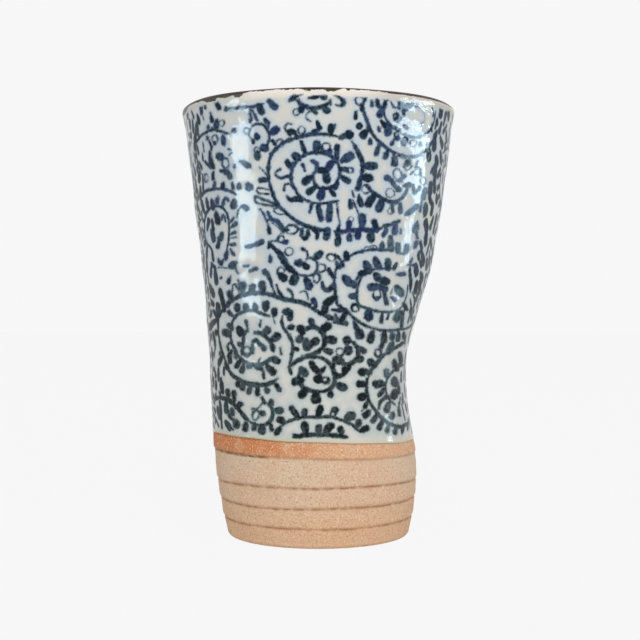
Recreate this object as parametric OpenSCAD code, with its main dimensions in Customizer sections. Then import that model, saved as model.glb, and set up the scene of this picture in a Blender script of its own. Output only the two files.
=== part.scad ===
// Tall yunomi tea cup: a thrown stoneware body with a turned bare foot, a glaze coat outside,
// a glaze lining inside, an iron wash round the lip, and one thumb hollow pressed into the wall.

/* [Cup] */
// Overall height, from the standing face to the top of the lip
height = 130; // [120:1:140]
// Outside diameter of the mouth
mouth_d = 84; // [78:1:90]
// Outside diameter of the coat at its lower edge
waist_d = 65.4; // [60:0.2:68]
// Outside diameter of the foot, just above its rounded corner
foot_d = 56.2; // [52:0.2:58]
// How far the side curves in from a straight line between the coat's lower edge and the lip
flare_bow = 1.6; // [0:0.05:2]
// How far the side of the foot bulges out from a straight line
foot_bow = 0.5; // [0:0.05:1.2]

/* [Wall] */
// Thickness of the wall at the lower edge of the coat, glazes included
wall = 4.2; // [3.6:0.1:5]
// Thickness of the lip, glazes included
lip = 3.2; // [2.6:0.1:3.6]
// Height of the inside floor above the standing face
floor_z = 7; // [6:0.1:9]
// Radius of the corner between the inside wall and the floor
floor_corner = 10; // [6:0.5:12]
// Thickness of the glazes and of the iron wash
glaze = 0.4; // [0.3:0.05:0.6]

/* [Glaze line] */
// Height of the bare clay, up to the lower edge of the outside coat
bare_h = 30.5; // [28:0.1:34]
// How much lower the coat's edge lies on its low side, and higher on the other
dip = 1.2; // [0:0.1:1.6]
// Angle from the pressed side to the coat's low side, seen from above
dip_turn = 30; // [-90:1:90]
// Distance above and below the coat's edge over which its slant fades out
dip_reach = 9.5; // [8:0.5:12]
// Height over which the coat thins out towards its lower edge
thin_h = 1.4; // [0.8:0.1:2]
// Share of the full thickness that is left at that edge
thin_share = 0.35; // [0.2:0.05:0.6]

/* [Bare foot] */
// Height of the flashed band just under the coat
flash_h = 4.5; // [3.5:0.1:5.5]
// Height of each of the lower bands
low_band_h = 5.9; // [5:0.1:6.2]
// Number of the lower bands
low_bands = 3; // [1:1:3]
// How far each band stands out over the one below it
ridge = 0.45; // [0.1:0.05:0.8]
// Depth of the turned line under each ridge
line_depth = 0.35; // [0.1:0.05:0.6]
// Height of the turned line under each ridge
line_h = 0.8; // [0.4:0.1:1]
// Radius of the rounded corner round the standing face
foot_corner = 1.4; // [0.6:0.1:2]
// Width of the ring that the cup stands on
foot_ring = 5.5; // [4:0.5:8]
// Depth of the turned recess inside the foot ring
recess = 1.6; // [0.8:0.1:2.5]
// How far the side of the recess leans in
recess_lean = 0.8; // [0.4:0.1:1.5]

/* [Thumb hollow] */
// Depth of the hollow at its deepest
press_depth = 6.8; // [0:0.1:9]
// Height of its deepest point above the standing face
press_z = 51; // [46:0.5:70]
// Distance up or down over which the depth fades to a third
press_reach = 24; // [18:0.5:28]
// Angle to each side over which the depth fades to a third
press_sweep = 44; // [30:1:60]

/* [Iron rim] */
// Reach of the iron wash from the top of the lip, down the outside of its curve, in degrees
rim_out = 72; // [20:1:80]
// Reach of the iron wash from the top of the lip, down the inside of its curve, in degrees
rim_in = 60; // [20:1:80]

/* [Hidden] */
// Cuts run this far past the face that they open
overrun = 0.5;
// Steps round the cup, up the coated wall, down the inside of the foot and along each curve
sides = 48;
wall_steps = 11;
foot_steps = 2;
curve_steps = 3;
$fn = sides;

mouth_r = mouth_d / 2;
waist_r = waist_d / 2;
foot_r = foot_d / 2;
stand_r = foot_r - foot_corner;
lip_r = lip / 2;
lip_z = height - lip_r;
lip_mid = mouth_r - lip_r;
// Inside this share of the foot's radius the hollow fades out towards the axis
still_share = 0.7;
// Heights of a turned line's corners above the line, as shares of its own height
line_shares = [-0.6, -0.1, 0.25, 1];

// Radius of the finished outside at height z: a bowed flare over a bowed foot
function rise(z) = (z - bare_h) / (lip_z - bare_h);
function fall(z) = (bare_h - z) / bare_h;
function bow(size, t) = 4 * size * t * (1 - t);
function flare_r(z) = waist_r + (mouth_r - waist_r) * rise(z) - bow(flare_bow, rise(z));
function bare_r(z) = waist_r - (waist_r - foot_r) * fall(z) + bow(foot_bow, fall(z));
function side_r(z) = z < bare_h ? bare_r(z) : flare_r(z);

// Radius of the finished inside at height z
function wall_at(z) = z < bare_h ? wall : wall + (lip - wall) * rise(z);
function cavity_r(z) = side_r(z) - wall_at(z);

// Thickness of the outside coat at height z, thinning out towards its lower edge
function coat(z) = glaze * min(1, thin_share + (1 - thin_share) * (z - bare_h) / thin_h);

// Points on a circle about [r, z], from one angle to another
function arc(r, z, size, from, to, steps) =
    [for (i = [0:steps]) let (a = from + (to - from) * i / steps) [r + size * cos(a), z + size * sin(a)]];
function reversed(list) = [for (i = [len(list) - 1:-1:0]) list[i]];
function after_first(list) = [for (i = [1:len(list) - 1]) list[i]];

// Heights of the rings on the coated wall, from the coat's lower edge up to the lip
wall_z = concat(
    [bare_h, bare_h + thin_h],
    [for (i = [1:wall_steps]) bare_h + (lip_z - bare_h) * i / wall_steps]);

// The finished outside of the coated wall, and the clay under the coat
finished_side = [for (z = wall_z) [side_r(z), z]];
coated_clay = [for (z = wall_z) [side_r(z) - coat(z), z]];

// A stretch of the lip's curve, at a depth under the finished surface
function lip_curve(depth, from, to) = arc(lip_mid, lip_z, lip_r - depth, from, to, curve_steps);
rim_start = 90 - rim_out;
rim_end = 90 + rim_in;

// The inside from under the lip down to the axis, at a depth under the finished surface
corner_z = floor_z + floor_corner;
corner_mid = cavity_r(corner_z) - floor_corner;
inside_z = concat(
    [for (i = [wall_steps - 1:-1:0]) bare_h + (lip_z - bare_h) * i / wall_steps],
    [for (i = [foot_steps - 1:-1:1]) corner_z + (bare_h - corner_z) * i / foot_steps]);
function inside(depth) = concat(
    [for (z = inside_z) [cavity_r(z) + depth, z]],
    arc(corner_mid, corner_z, floor_corner + depth, 0, -90, curve_steps),
    [[0, floor_z - depth]]);

// Heights of the turned lines on the bare foot, from the lowest up
lines_z = concat([for (i = [1:low_bands]) low_band_h * i], [bare_h - flash_h]);
// A turned line: the lower band's top edge, the root of the line, and the upper band's lower edge
function turned_line(z) = [
    [side_r(z) - ridge / 2, z + line_shares[0] * line_h],
    [side_r(z) - ridge / 2 - line_depth, z + line_shares[1] * line_h],
    [side_r(z) + ridge / 2 - line_depth, z + line_shares[2] * line_h],
    [side_r(z) + ridge / 2, z + line_shares[3] * line_h]];
bare_side = [for (z = lines_z, p = turned_line(z)) p];
standing_face = concat([[0, 0]], arc(stand_r, foot_corner, foot_corner, -90, 0, curve_steps));

// The hollow pressed into the wall on the +X side, and the slant of the coat's lower edge
function turn(a) = a > 180 ? a - 360 : a;
function fade(x, reach) = exp(-pow(x / reach, 2));
function press(a, z) = press_depth * fade(z - press_z, press_reach) * fade(turn(a), press_sweep);
function held(r) = min(1, r / (still_share * foot_r));
function slant(a, z) = -dip * cos(a - dip_turn) * max(0, 1 - abs(z - bare_h) / dip_reach);
function placed(p, a) = let (r = p[0] - held(p[0]) * press(a, p[1]))
    [r * cos(a), r * sin(a), p[1] + slant(a, p[1])];

// Turns a section round the axis, with the hollow pressed into it. The section runs anticlockwise.
// It closes on itself, or starts and ends on the axis.
module thrown(section) {
    on_axis = section[0][0] == 0;
    last = len(section) - 1;
    rings = on_axis ? [for (i = [1:last - 1]) section[i]] : section;
    count = len(rings);
    joints = on_axis ? count - 1 : count;
    low_pole = count * sides;
    function at(i, j) = (j % count) * sides + i % sides;
    ring_points = [for (ring = rings, i = [0:sides - 1]) placed(ring, 360 * i / sides)];
    pole_points = [[0, 0, section[0][1]], [0, 0, section[last][1]]];
    side_faces = [for (j = [0:joints - 1], i = [0:sides - 1], upper = [0, 1])
        upper == 0
            ? [at(i, j + 1), at(i + 1, j + 1), at(i, j)]
            : [at(i + 1, j + 1), at(i + 1, j), at(i, j)]];
    pole_faces = [for (i = [0:sides - 1], upper = [0, 1])
        upper == 0
            ? [low_pole, at(i, 0), at(i + 1, 0)]
            : [low_pole + 1, at(i + 1, count - 1), at(i, count - 1)]];
    polyhedron(
        points = on_axis ? concat(ring_points, pole_points) : ring_points,
        faces = on_axis ? concat(side_faces, pole_faces) : side_faces);
}

// The recess turned inside the foot ring
module foot_recess() {
    recess_r = stand_r - foot_ring;
    lean_per_mm = recess_lean / recess;
    translate([0, 0, -overrun])
    cylinder(h = recess + overrun, r1 = recess_r + overrun * lean_per_mm, r2 = recess_r - recess_lean);
}

// The stoneware, bare at the foot and covered above it
module clay_body() {
    color("#d0a883")
    difference() {
        thrown(concat(
            standing_face, bare_side, coated_clay,
            after_first(lip_curve(glaze, 0, rim_start)),
            after_first(lip_curve(glaze, rim_start, rim_end)),
            after_first(lip_curve(glaze, rim_end, 180)),
            inside(glaze)));
        foot_recess();
    }
}

// The outside coat, from its slanting lower edge up to the iron wash
module outer_glaze() {
    color("#d7d4cb")
    thrown(concat(
        finished_side,
        after_first(lip_curve(0, 0, rim_start)),
        lip_curve(glaze, rim_start, 0),
        after_first(reversed(coated_clay))));
}

// The lining, from the iron wash down over the floor
module inner_glaze() {
    color("#d9d6cc")
    thrown(concat(
        reversed(inside(glaze)),
        lip_curve(glaze, 180, rim_end),
        lip_curve(0, rim_end, 180),
        inside(0)));
}

// The iron wash over the top of the lip
module iron_rim() {
    color("#4b3323")
    thrown(concat(
        lip_curve(0, rim_start, rim_end),
        lip_curve(glaze, rim_end, rim_start)));
}

clay_body();
outer_glaze();
inner_glaze();
iron_rim();
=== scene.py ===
import bpy
import math
import mathutils
import random
import numpy as np
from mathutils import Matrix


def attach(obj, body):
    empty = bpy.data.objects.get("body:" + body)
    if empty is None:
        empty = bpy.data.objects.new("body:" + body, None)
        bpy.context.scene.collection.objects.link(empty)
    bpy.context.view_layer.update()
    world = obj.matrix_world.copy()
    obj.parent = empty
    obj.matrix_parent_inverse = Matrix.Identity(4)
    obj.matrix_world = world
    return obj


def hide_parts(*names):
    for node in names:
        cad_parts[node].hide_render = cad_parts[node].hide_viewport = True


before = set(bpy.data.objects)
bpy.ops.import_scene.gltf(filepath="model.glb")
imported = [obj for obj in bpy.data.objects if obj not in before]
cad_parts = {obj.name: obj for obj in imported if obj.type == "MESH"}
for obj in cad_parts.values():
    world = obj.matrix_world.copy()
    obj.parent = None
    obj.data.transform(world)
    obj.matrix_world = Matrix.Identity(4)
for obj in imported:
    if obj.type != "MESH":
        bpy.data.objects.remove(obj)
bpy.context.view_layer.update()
mm = 0.001
scene = bpy.context.scene

# The cup's own sizes in millimetres and degrees. Down to rimIn the solids have the same ones.
# The thumb hollow is on the +X side, and the photograph looks along +Y.
cup = {
    "height": 130, "mouth": 84, "waist": 65.4, "foot": 56.2,
    "flareBow": 1.6, "footBow": 0.5,
    "wall": 4.2, "lip": 3.2, "floor": 7, "floorCorner": 10, "glaze": 0.4,
    "bareHeight": 30.5, "dip": 1.2, "dipTurn": 30, "dipReach": 9.5,
    "thinHeight": 1.4, "thinShare": 0.35,
    "flash": 4.5, "band": 5.9, "bands": 3, "ridge": 0.45,
    "lineDepth": 0.35, "lineHeight": 0.8,
    "footCorner": 1.4, "footRing": 5.5, "recess": 1.6, "recessLean": 0.8,
    "pressDepth": 6.8, "pressHeight": 51, "pressReach": 24, "pressSweep": 44,
    "rimOut": 72, "rimIn": 60,
    "waver": 0.10,          # how far the thrown wall wanders from a true curve
    "waverLow": 12,         # it fades in over this height above the coat's edge
    "waverHigh": 5,         # and out over this height below the lip
    "rimRise": 0.6,         # how much higher the lip is at the sides than at the front and the back
    "riseFrom": 95,         # the height from which the wall climbs to it
    "stillShare": 0.7,      # inside this share of the foot's radius the hollow fades out
}
lipZ = cup["height"] - cup["lip"] / 2
lipMid = (cup["mouth"] - cup["lip"]) / 2
bareZ = cup["bareHeight"]


def bow(size, t):
    return 4 * size * t * (1 - t)


def sideRadius(z):
    rise = (z - bareZ) / (lipZ - bareZ)
    fall = (bareZ - z) / bareZ
    coated = cup["waist"] / 2 + (cup["mouth"] - cup["waist"]) / 2 * rise - bow(cup["flareBow"], rise)
    bare = cup["waist"] / 2 - (cup["waist"] - cup["foot"]) / 2 * fall + bow(cup["footBow"], fall)
    return np.where(z < bareZ, bare, coated)


def wallThickness(z):
    rise = np.clip((z - bareZ) / (lipZ - bareZ), 0, 1)
    return cup["wall"] + (cup["lip"] - cup["wall"]) * rise


def coatThickness(z):
    grown = (z - bareZ) / cup["thinHeight"]
    return cup["glaze"] * np.minimum(1, cup["thinShare"] + (1 - cup["thinShare"]) * grown)


def hollow(a, z):
    turned = (a + np.pi) % (2 * np.pi) - np.pi
    across = turned / math.radians(cup["pressSweep"])
    along = (z - cup["pressHeight"]) / cup["pressReach"]
    return cup["pressDepth"] * np.exp(-along ** 2 - across ** 2)


def slant(a, z):
    reach = np.maximum(0, 1 - np.abs(z - bareZ) / cup["dipReach"])
    return -cup["dip"] * np.cos(a - math.radians(cup["dipTurn"])) * reach


def shiftUp(a, z):
    # The coat's slant low on the wall, and the lip that isn't quite level
    climb = np.clip((z - cup["riseFrom"]) / (lipZ - cup["riseFrom"]), 0, 1)
    return slant(a, z) + cup["rimRise"] * np.cos(a) ** 2 * climb ** 2


def waver(a, z):
    # Throwing rings and soft dents left by the hands, faded out towards the foot and the lip
    rings = np.sin(z * 0.36 + 1.3 * np.sin(a) + 0.7)
    dents = np.sin(2 * a + z * 0.11) + 0.7 * np.sin(5 * a - z * 0.19 + 1.1)
    fade = np.clip((z - bareZ) / cup["waverLow"], 0, 1) * np.clip((lipZ - z) / cup["waverHigh"], 0, 1)
    return cup["waver"] * fade * (rings + dents)


def placed(r, z, a):
    # r and z are the section's points and a the angles round the cup; what comes back is in metres
    r, z, a = np.broadcast_arrays(r[:, None], z[:, None], a[None, :])
    held = np.minimum(1, r / (cup["stillShare"] * cup["foot"] / 2))
    out = r - held * (hollow(a, z) + waver(a, z))
    up = z + shiftUp(a, z)
    return np.stack([out * np.cos(a), out * np.sin(a), up], axis=-1) * mm


# The cobalt drawing. It is laid out on the unrolled wall: an angle round the cup and a height.
drawing = {
    "columns": 864, "rows": 336,        # how finely the coat is divided round and up the wall
    "stemWidth": 1.0,                   # millimetres, where the photograph shows no stem
    "stemStep": 0.6,                    # and how finely a stem is cut
    "stemTaper": 1.5, "stemDrift": 0.06,  # how soon it swells from its thin end, and how uneven it is
    "plainStem": 3.6,                   # pixels, for a stem that stemWidths doesn't name
    "leafSpacing": 2.8, "leafLength": 2.5, "leafWidth": 2.2,
    "leafLean": 6, "leanVaries": 10,    # degrees forward from square to the stem
    "ringWidth": 0.6,                   # the line of a hollow leaf
    "clearance": 0.30,                  # white left between strokes
    "topMargin": 0.9,                   # bare glaze under the rim
    "lowMargin": 1.2,                   # and above the coat's edge
    "scrollGap": 4.4,                   # white wider than this to each side gets a small scroll
    "gapFill": 1.55,                    # and white wider than this gets a loose leaf
    "tracedDegrees": 60,                # so far to each side of the front, every stroke is read off
    "fullness": 1.08,                   # how much wider a stroke is than its dark middle was read
    # near the outline, where the photograph squeezes the strokes together:
    "sideLeaf": 3.0,                    # the widest stroke
    "leafReach": 2.6, "lineReach": 9.0,  # how far a leaf and a line go round the wall there
    "linePoints": 9,                    # a stroke of at least so many points is a line
    "squeezed": 0.53,                   # below this share of its real width a stroke is laid out on the wall
    "tooNarrow": 0.32,                  # below this one it only goes in where there is room
    "outOfSight": 0.3,                  # and below this one the photograph tells nothing
    "deepest": 1.5,                     # the field of distances is cut off here, in millimetres
    "mostScrolls": 60, "mostLoose": 1500,  # no more small scrolls and loose leaves than this
    "seed": 7,
}
random.seed(drawing["seed"])

# The camera stands where the photograph's did: level, at half the cup's height
view = {
    "distance": 359.4, "eyeHeight": 65.85, "aside": 0.47,   # millimetres
    "focalPixels": 1156, "frame": 640,
    "nearRadius": 37.0,                 # the cup's radius in the middle of the picture, in millimetres
}


def radiusAt(a, z):
    return float(sideRadius(np.array(z)) - hollow(np.array(a), np.array(z)))


def wallAt(pixelX, pixelY):
    # Where the sight line through a pixel meets the wall: an angle and a height
    dirX = (pixelX - view["frame"] / 2) / view["focalPixels"]
    dirZ = (view["frame"] / 2 - pixelY) / view["focalPixels"]
    radius = view["nearRadius"]
    for tries in range(14):
        # a point on the line is (aside + t dirX, t - distance, eye + t dirZ)
        qa = dirX ** 2 + 1
        qb = view["aside"] * dirX - view["distance"]
        qc = view["aside"] ** 2 + view["distance"] ** 2 - radius ** 2
        t = (-qb - math.sqrt(max(0.0, qb ** 2 - qa * qc))) / qa
        x, y, z = view["aside"] + t * dirX, t - view["distance"], view["eyeHeight"] + t * dirZ
        a = math.atan2(y, x)
        level = z - float(shiftUp(np.array(a), np.array(z)))
        radius += 0.7 * (radiusAt(a, level) - radius)   # less than the whole way, so that it settles
    return a, level


# Stems, read off the photograph in its own pixels. Where a stem runs on past the part that is read off,
# leaves grow on the right of its run.
stemWidths = {                          # pixels
    "bigEye": 3.6, "bigSide": 4.8, "bigBack": 3.9, "row": 5.6, "rightEye": 0.4, "rightTurn": 3.2,
    "nestEye": 4.6, "topEye": 3, "hookArm": 6.4, "hookEye": 2.8, "vine": 4.8, "wheelTurn": 4.4,
    "petalEye": 2.8, "petalSide": 6.6, "twinUpper": 4.4, "twinLower": 4.5, "budEye": 4.8, "fanBack": 4.5,
    "fanTurn": 3.2, "footBack": 4.5, "footTurn": 4.5, "seedEye": 4.2, "cornerBack": 4.8, "rimEye": 4,
    "rimHook": 2.6, "wheelEye": 4.6, "wheelCurl": 4.6,
}
stemPixels = {
    "bigEye": [(314, 172), (313, 179), (318, 187.5), (327, 188.5), (335.5, 184), (339.5, 174.5),
               (338.5, 165), (334.5, 159), (328, 154.5), (320, 152.5), (310.5, 153), (301, 157),
               (295, 163.5), (291.5, 172), (291, 180), (294, 188.5), (299.5, 196), (307, 200.5),
               (316, 203), (327, 203), (338, 201)],
    "bigSide": [(357, 188), (361.5, 175.5), (362.5, 163.5), (358.5, 153), (352, 141.5)],
    "bigBack": [(337, 136.5), (326, 134.5), (315, 134), (297, 137.5), (283, 143), (272, 153), (268.5, 164),
                (268, 175.5), (270.5, 186.5), (274, 197), (282, 209), (292, 218), (305, 225.5),
                (319, 229.5), (328, 230.5)],
    "row": [(335, 231.5), (343, 231.5), (352, 230.5), (362, 229.5), (373, 230.5), (382, 228)],
    "rightEye": [(404, 123), (402, 115.5), (404.5, 109), (412, 106), (420.5, 108.5), (424.5, 115),
                 (423, 122.5), (417, 125)],
    "rightTurn": [(393, 96.5), (386.5, 101), (384, 108.5), (385, 117.5), (390.5, 125.5), (397, 131.5),
                  (404.5, 135), (413, 137.5), (421, 136.5), (428.5, 131.5), (433.5, 122.5), (436, 111.5)],
    "rightBack": [(366, 97), (363, 106), (364, 114), (367.5, 123), (371.5, 133), (379, 142), (387, 148.5),
                  (395.5, 153.5), (402, 156), (409.5, 157), (418, 155.5), (426, 149.5), (433, 140),
                  (437, 130.5)],
    "nestEye": [(366, 185), (373, 192.5), (383, 198.5), (390, 201.5), (397, 201.5), (403.5, 196),
                (407, 189), (409, 183)],
    "topEye": [(258.5, 148.5), (264, 147.5), (268, 143), (269, 135), (266, 127.5), (260.5, 124),
               (254, 125), (250, 129.5), (249, 135), (251, 139.5)],
    "leftBack": [(229.5, 134), (223, 132), (212.5, 130), (204, 133.5), (199, 138), (196, 144.5),
                 (196.5, 154.5), (198, 164), (201, 173.5)],
    "lowLeftBack": [(236.5, 194.5), (228, 190.5), (220, 189), (211.5, 189.5), (204, 192.5), (200.5, 200)],
    "lowLeftTurn": [(226.5, 254.5), (228, 246), (229, 237), (229, 226), (227, 214), (222, 207.5),
                    (216, 206), (210, 208.5), (206, 215), (204.5, 225), (205, 236), (208, 248)],
    "hookArm": [(269, 243), (274, 248), (279, 253), (282.5, 258.5), (285.5, 264), (290, 269), (296, 273)],
    "hookEye": [(295, 272.5), (301, 275), (306.5, 276), (312.5, 275), (316.5, 271), (317.5, 265.5),
                (316, 261), (312.5, 258.5), (308, 257.5), (305.5, 261)],
    "vine": [(335, 320), (327, 316), (319.5, 313), (308, 305), (293, 300.5), (284, 299), (276, 296.5),
             (267, 294), (256, 293), (246, 294), (238, 296.5), (230, 302.5), (225, 307.5), (220.5, 313),
             (218, 320), (218, 332.5), (219, 341), (220.5, 349), (223.5, 357), (227, 366.5), (232, 374.5),
             (238.5, 379), (246, 383), (256.5, 385), (266, 384.5), (273, 382), (277.5, 378.5)],
    "wheelTurn": [(269.5, 316), (260.5, 313), (252.5, 310.5), (244.5, 311.5), (237.5, 314.5),
                  (233.5, 319.5), (231.5, 325.5), (230, 334), (230.5, 340), (233, 347), (236.5, 354),
                  (241.5, 360), (249, 363.5), (256.5, 365), (265, 363), (271, 358.5), (274.5, 357)],
    "wheelEye": [(252, 351), (247, 355.5), (242.3, 351.5), (242.5, 346), (243, 341), (244, 334), (248, 329)],
    "wheelCurl": [(271, 343), (272.3, 350.5), (272.5, 346), (270, 341), (265.5, 336.5), (259, 333),
                  (254.5, 332)],
    "wheelSide": [(288.5, 368), (290, 363), (291.5, 355.5), (293, 348.5), (291.5, 341), (288, 334),
                  (284, 328.5), (282, 322), (283, 316)],
    "petalEye": [(395.5, 268), (387, 268.5), (377.5, 269), (368, 271.5), (362, 276.5), (358.5, 283.5),
                 (357, 292), (357, 300.5), (361, 306.5), (369, 309), (379, 311.5), (389.5, 312),
                 (397.5, 310), (403.5, 304), (407, 295.5), (408.5, 285)],
    "petalBack": [(392, 250), (382.5, 250), (373, 249.5), (365.5, 250.5), (356, 253), (348, 257.5),
                  (341.5, 262.5), (336, 270), (334.5, 278), (334.5, 286), (335.5, 295.5), (337, 304),
                  (343, 308.5), (349, 313.5), (355, 319.5), (362, 324), (370.5, 327.5), (380, 330),
                  (390.5, 330.5), (401, 329)],
    "petalSide": [(411, 291), (411.5, 283), (410.5, 275), (410, 267)],
    "twinUpper": [(302, 356), (309, 355), (316, 353), (321.5, 349), (325, 343), (324.5, 337),
                  (321.5, 331), (315, 327.5), (308, 328), (303, 332), (301, 338)],
    "twinLower": [(299, 372), (299, 380), (303, 387), (312, 391), (321, 391.5), (329, 389.5), (334, 384),
                  (334.5, 376), (332, 367.5), (326, 360.5), (317, 357), (306, 357.5), (296, 361.5),
                  (290, 366.5)],
    "budEye": [(333, 363.5), (340, 362), (346, 364.5), (353, 362), (357.5, 357), (358, 350), (354.5, 344),
               (349.5, 340.5)],
    "fanBack": [(405, 341.5), (398, 346), (390.5, 350.5), (382.5, 356), (376.5, 363), (372, 368.5),
                (368, 375), (366.5, 382), (366.5, 389.5), (368, 397), (371, 404), (376, 411), (381, 417),
                (387, 422), (394, 425.5), (401, 426.5), (407, 424)],
    "fanTurn": [(403.5, 364.5), (397, 367.5), (391, 373), (387, 379), (385.5, 385), (386.5, 393.5),
                (390.5, 400.5), (396, 405)],
    "footBack": [(358, 430.5), (353, 425.5), (346, 422), (338.5, 419), (330.5, 417), (319, 417),
                 (307.5, 417), (300, 417.5), (294, 419.5), (287, 422), (282.5, 425.5), (277.5, 429),
                 (274.5, 433)],
    "footTurn": [(347, 437), (340, 436), (329, 435), (319, 435), (307.5, 435), (300, 436), (293, 437)],
    "seedEye": [(249, 421.5), (255, 424.5), (262, 425.5), (269, 423), (272, 417.5), (272.5, 410.5),
                (269.5, 405.5), (265, 402)],
    "cornerBack": [(249, 421), (244, 416.5), (239.5, 410.5), (235, 405.5), (230, 401), (224, 398.5),
                   (218.5, 397.5), (215, 400.5)],
    "rimEye": [(297, 100), (301, 104.5), (308, 107), (313, 108), (318.5, 107.5), (323.5, 106), (328, 103.5),
               (330.5, 101)],
    "rimLeft": [(225, 110), (232, 109), (240, 107.5), (248, 107), (256, 106), (264, 103.5)],
    "rimHook": [(339, 97), (343.5, 99.5), (344.5, 103), (339.5, 106)],
}

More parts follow.
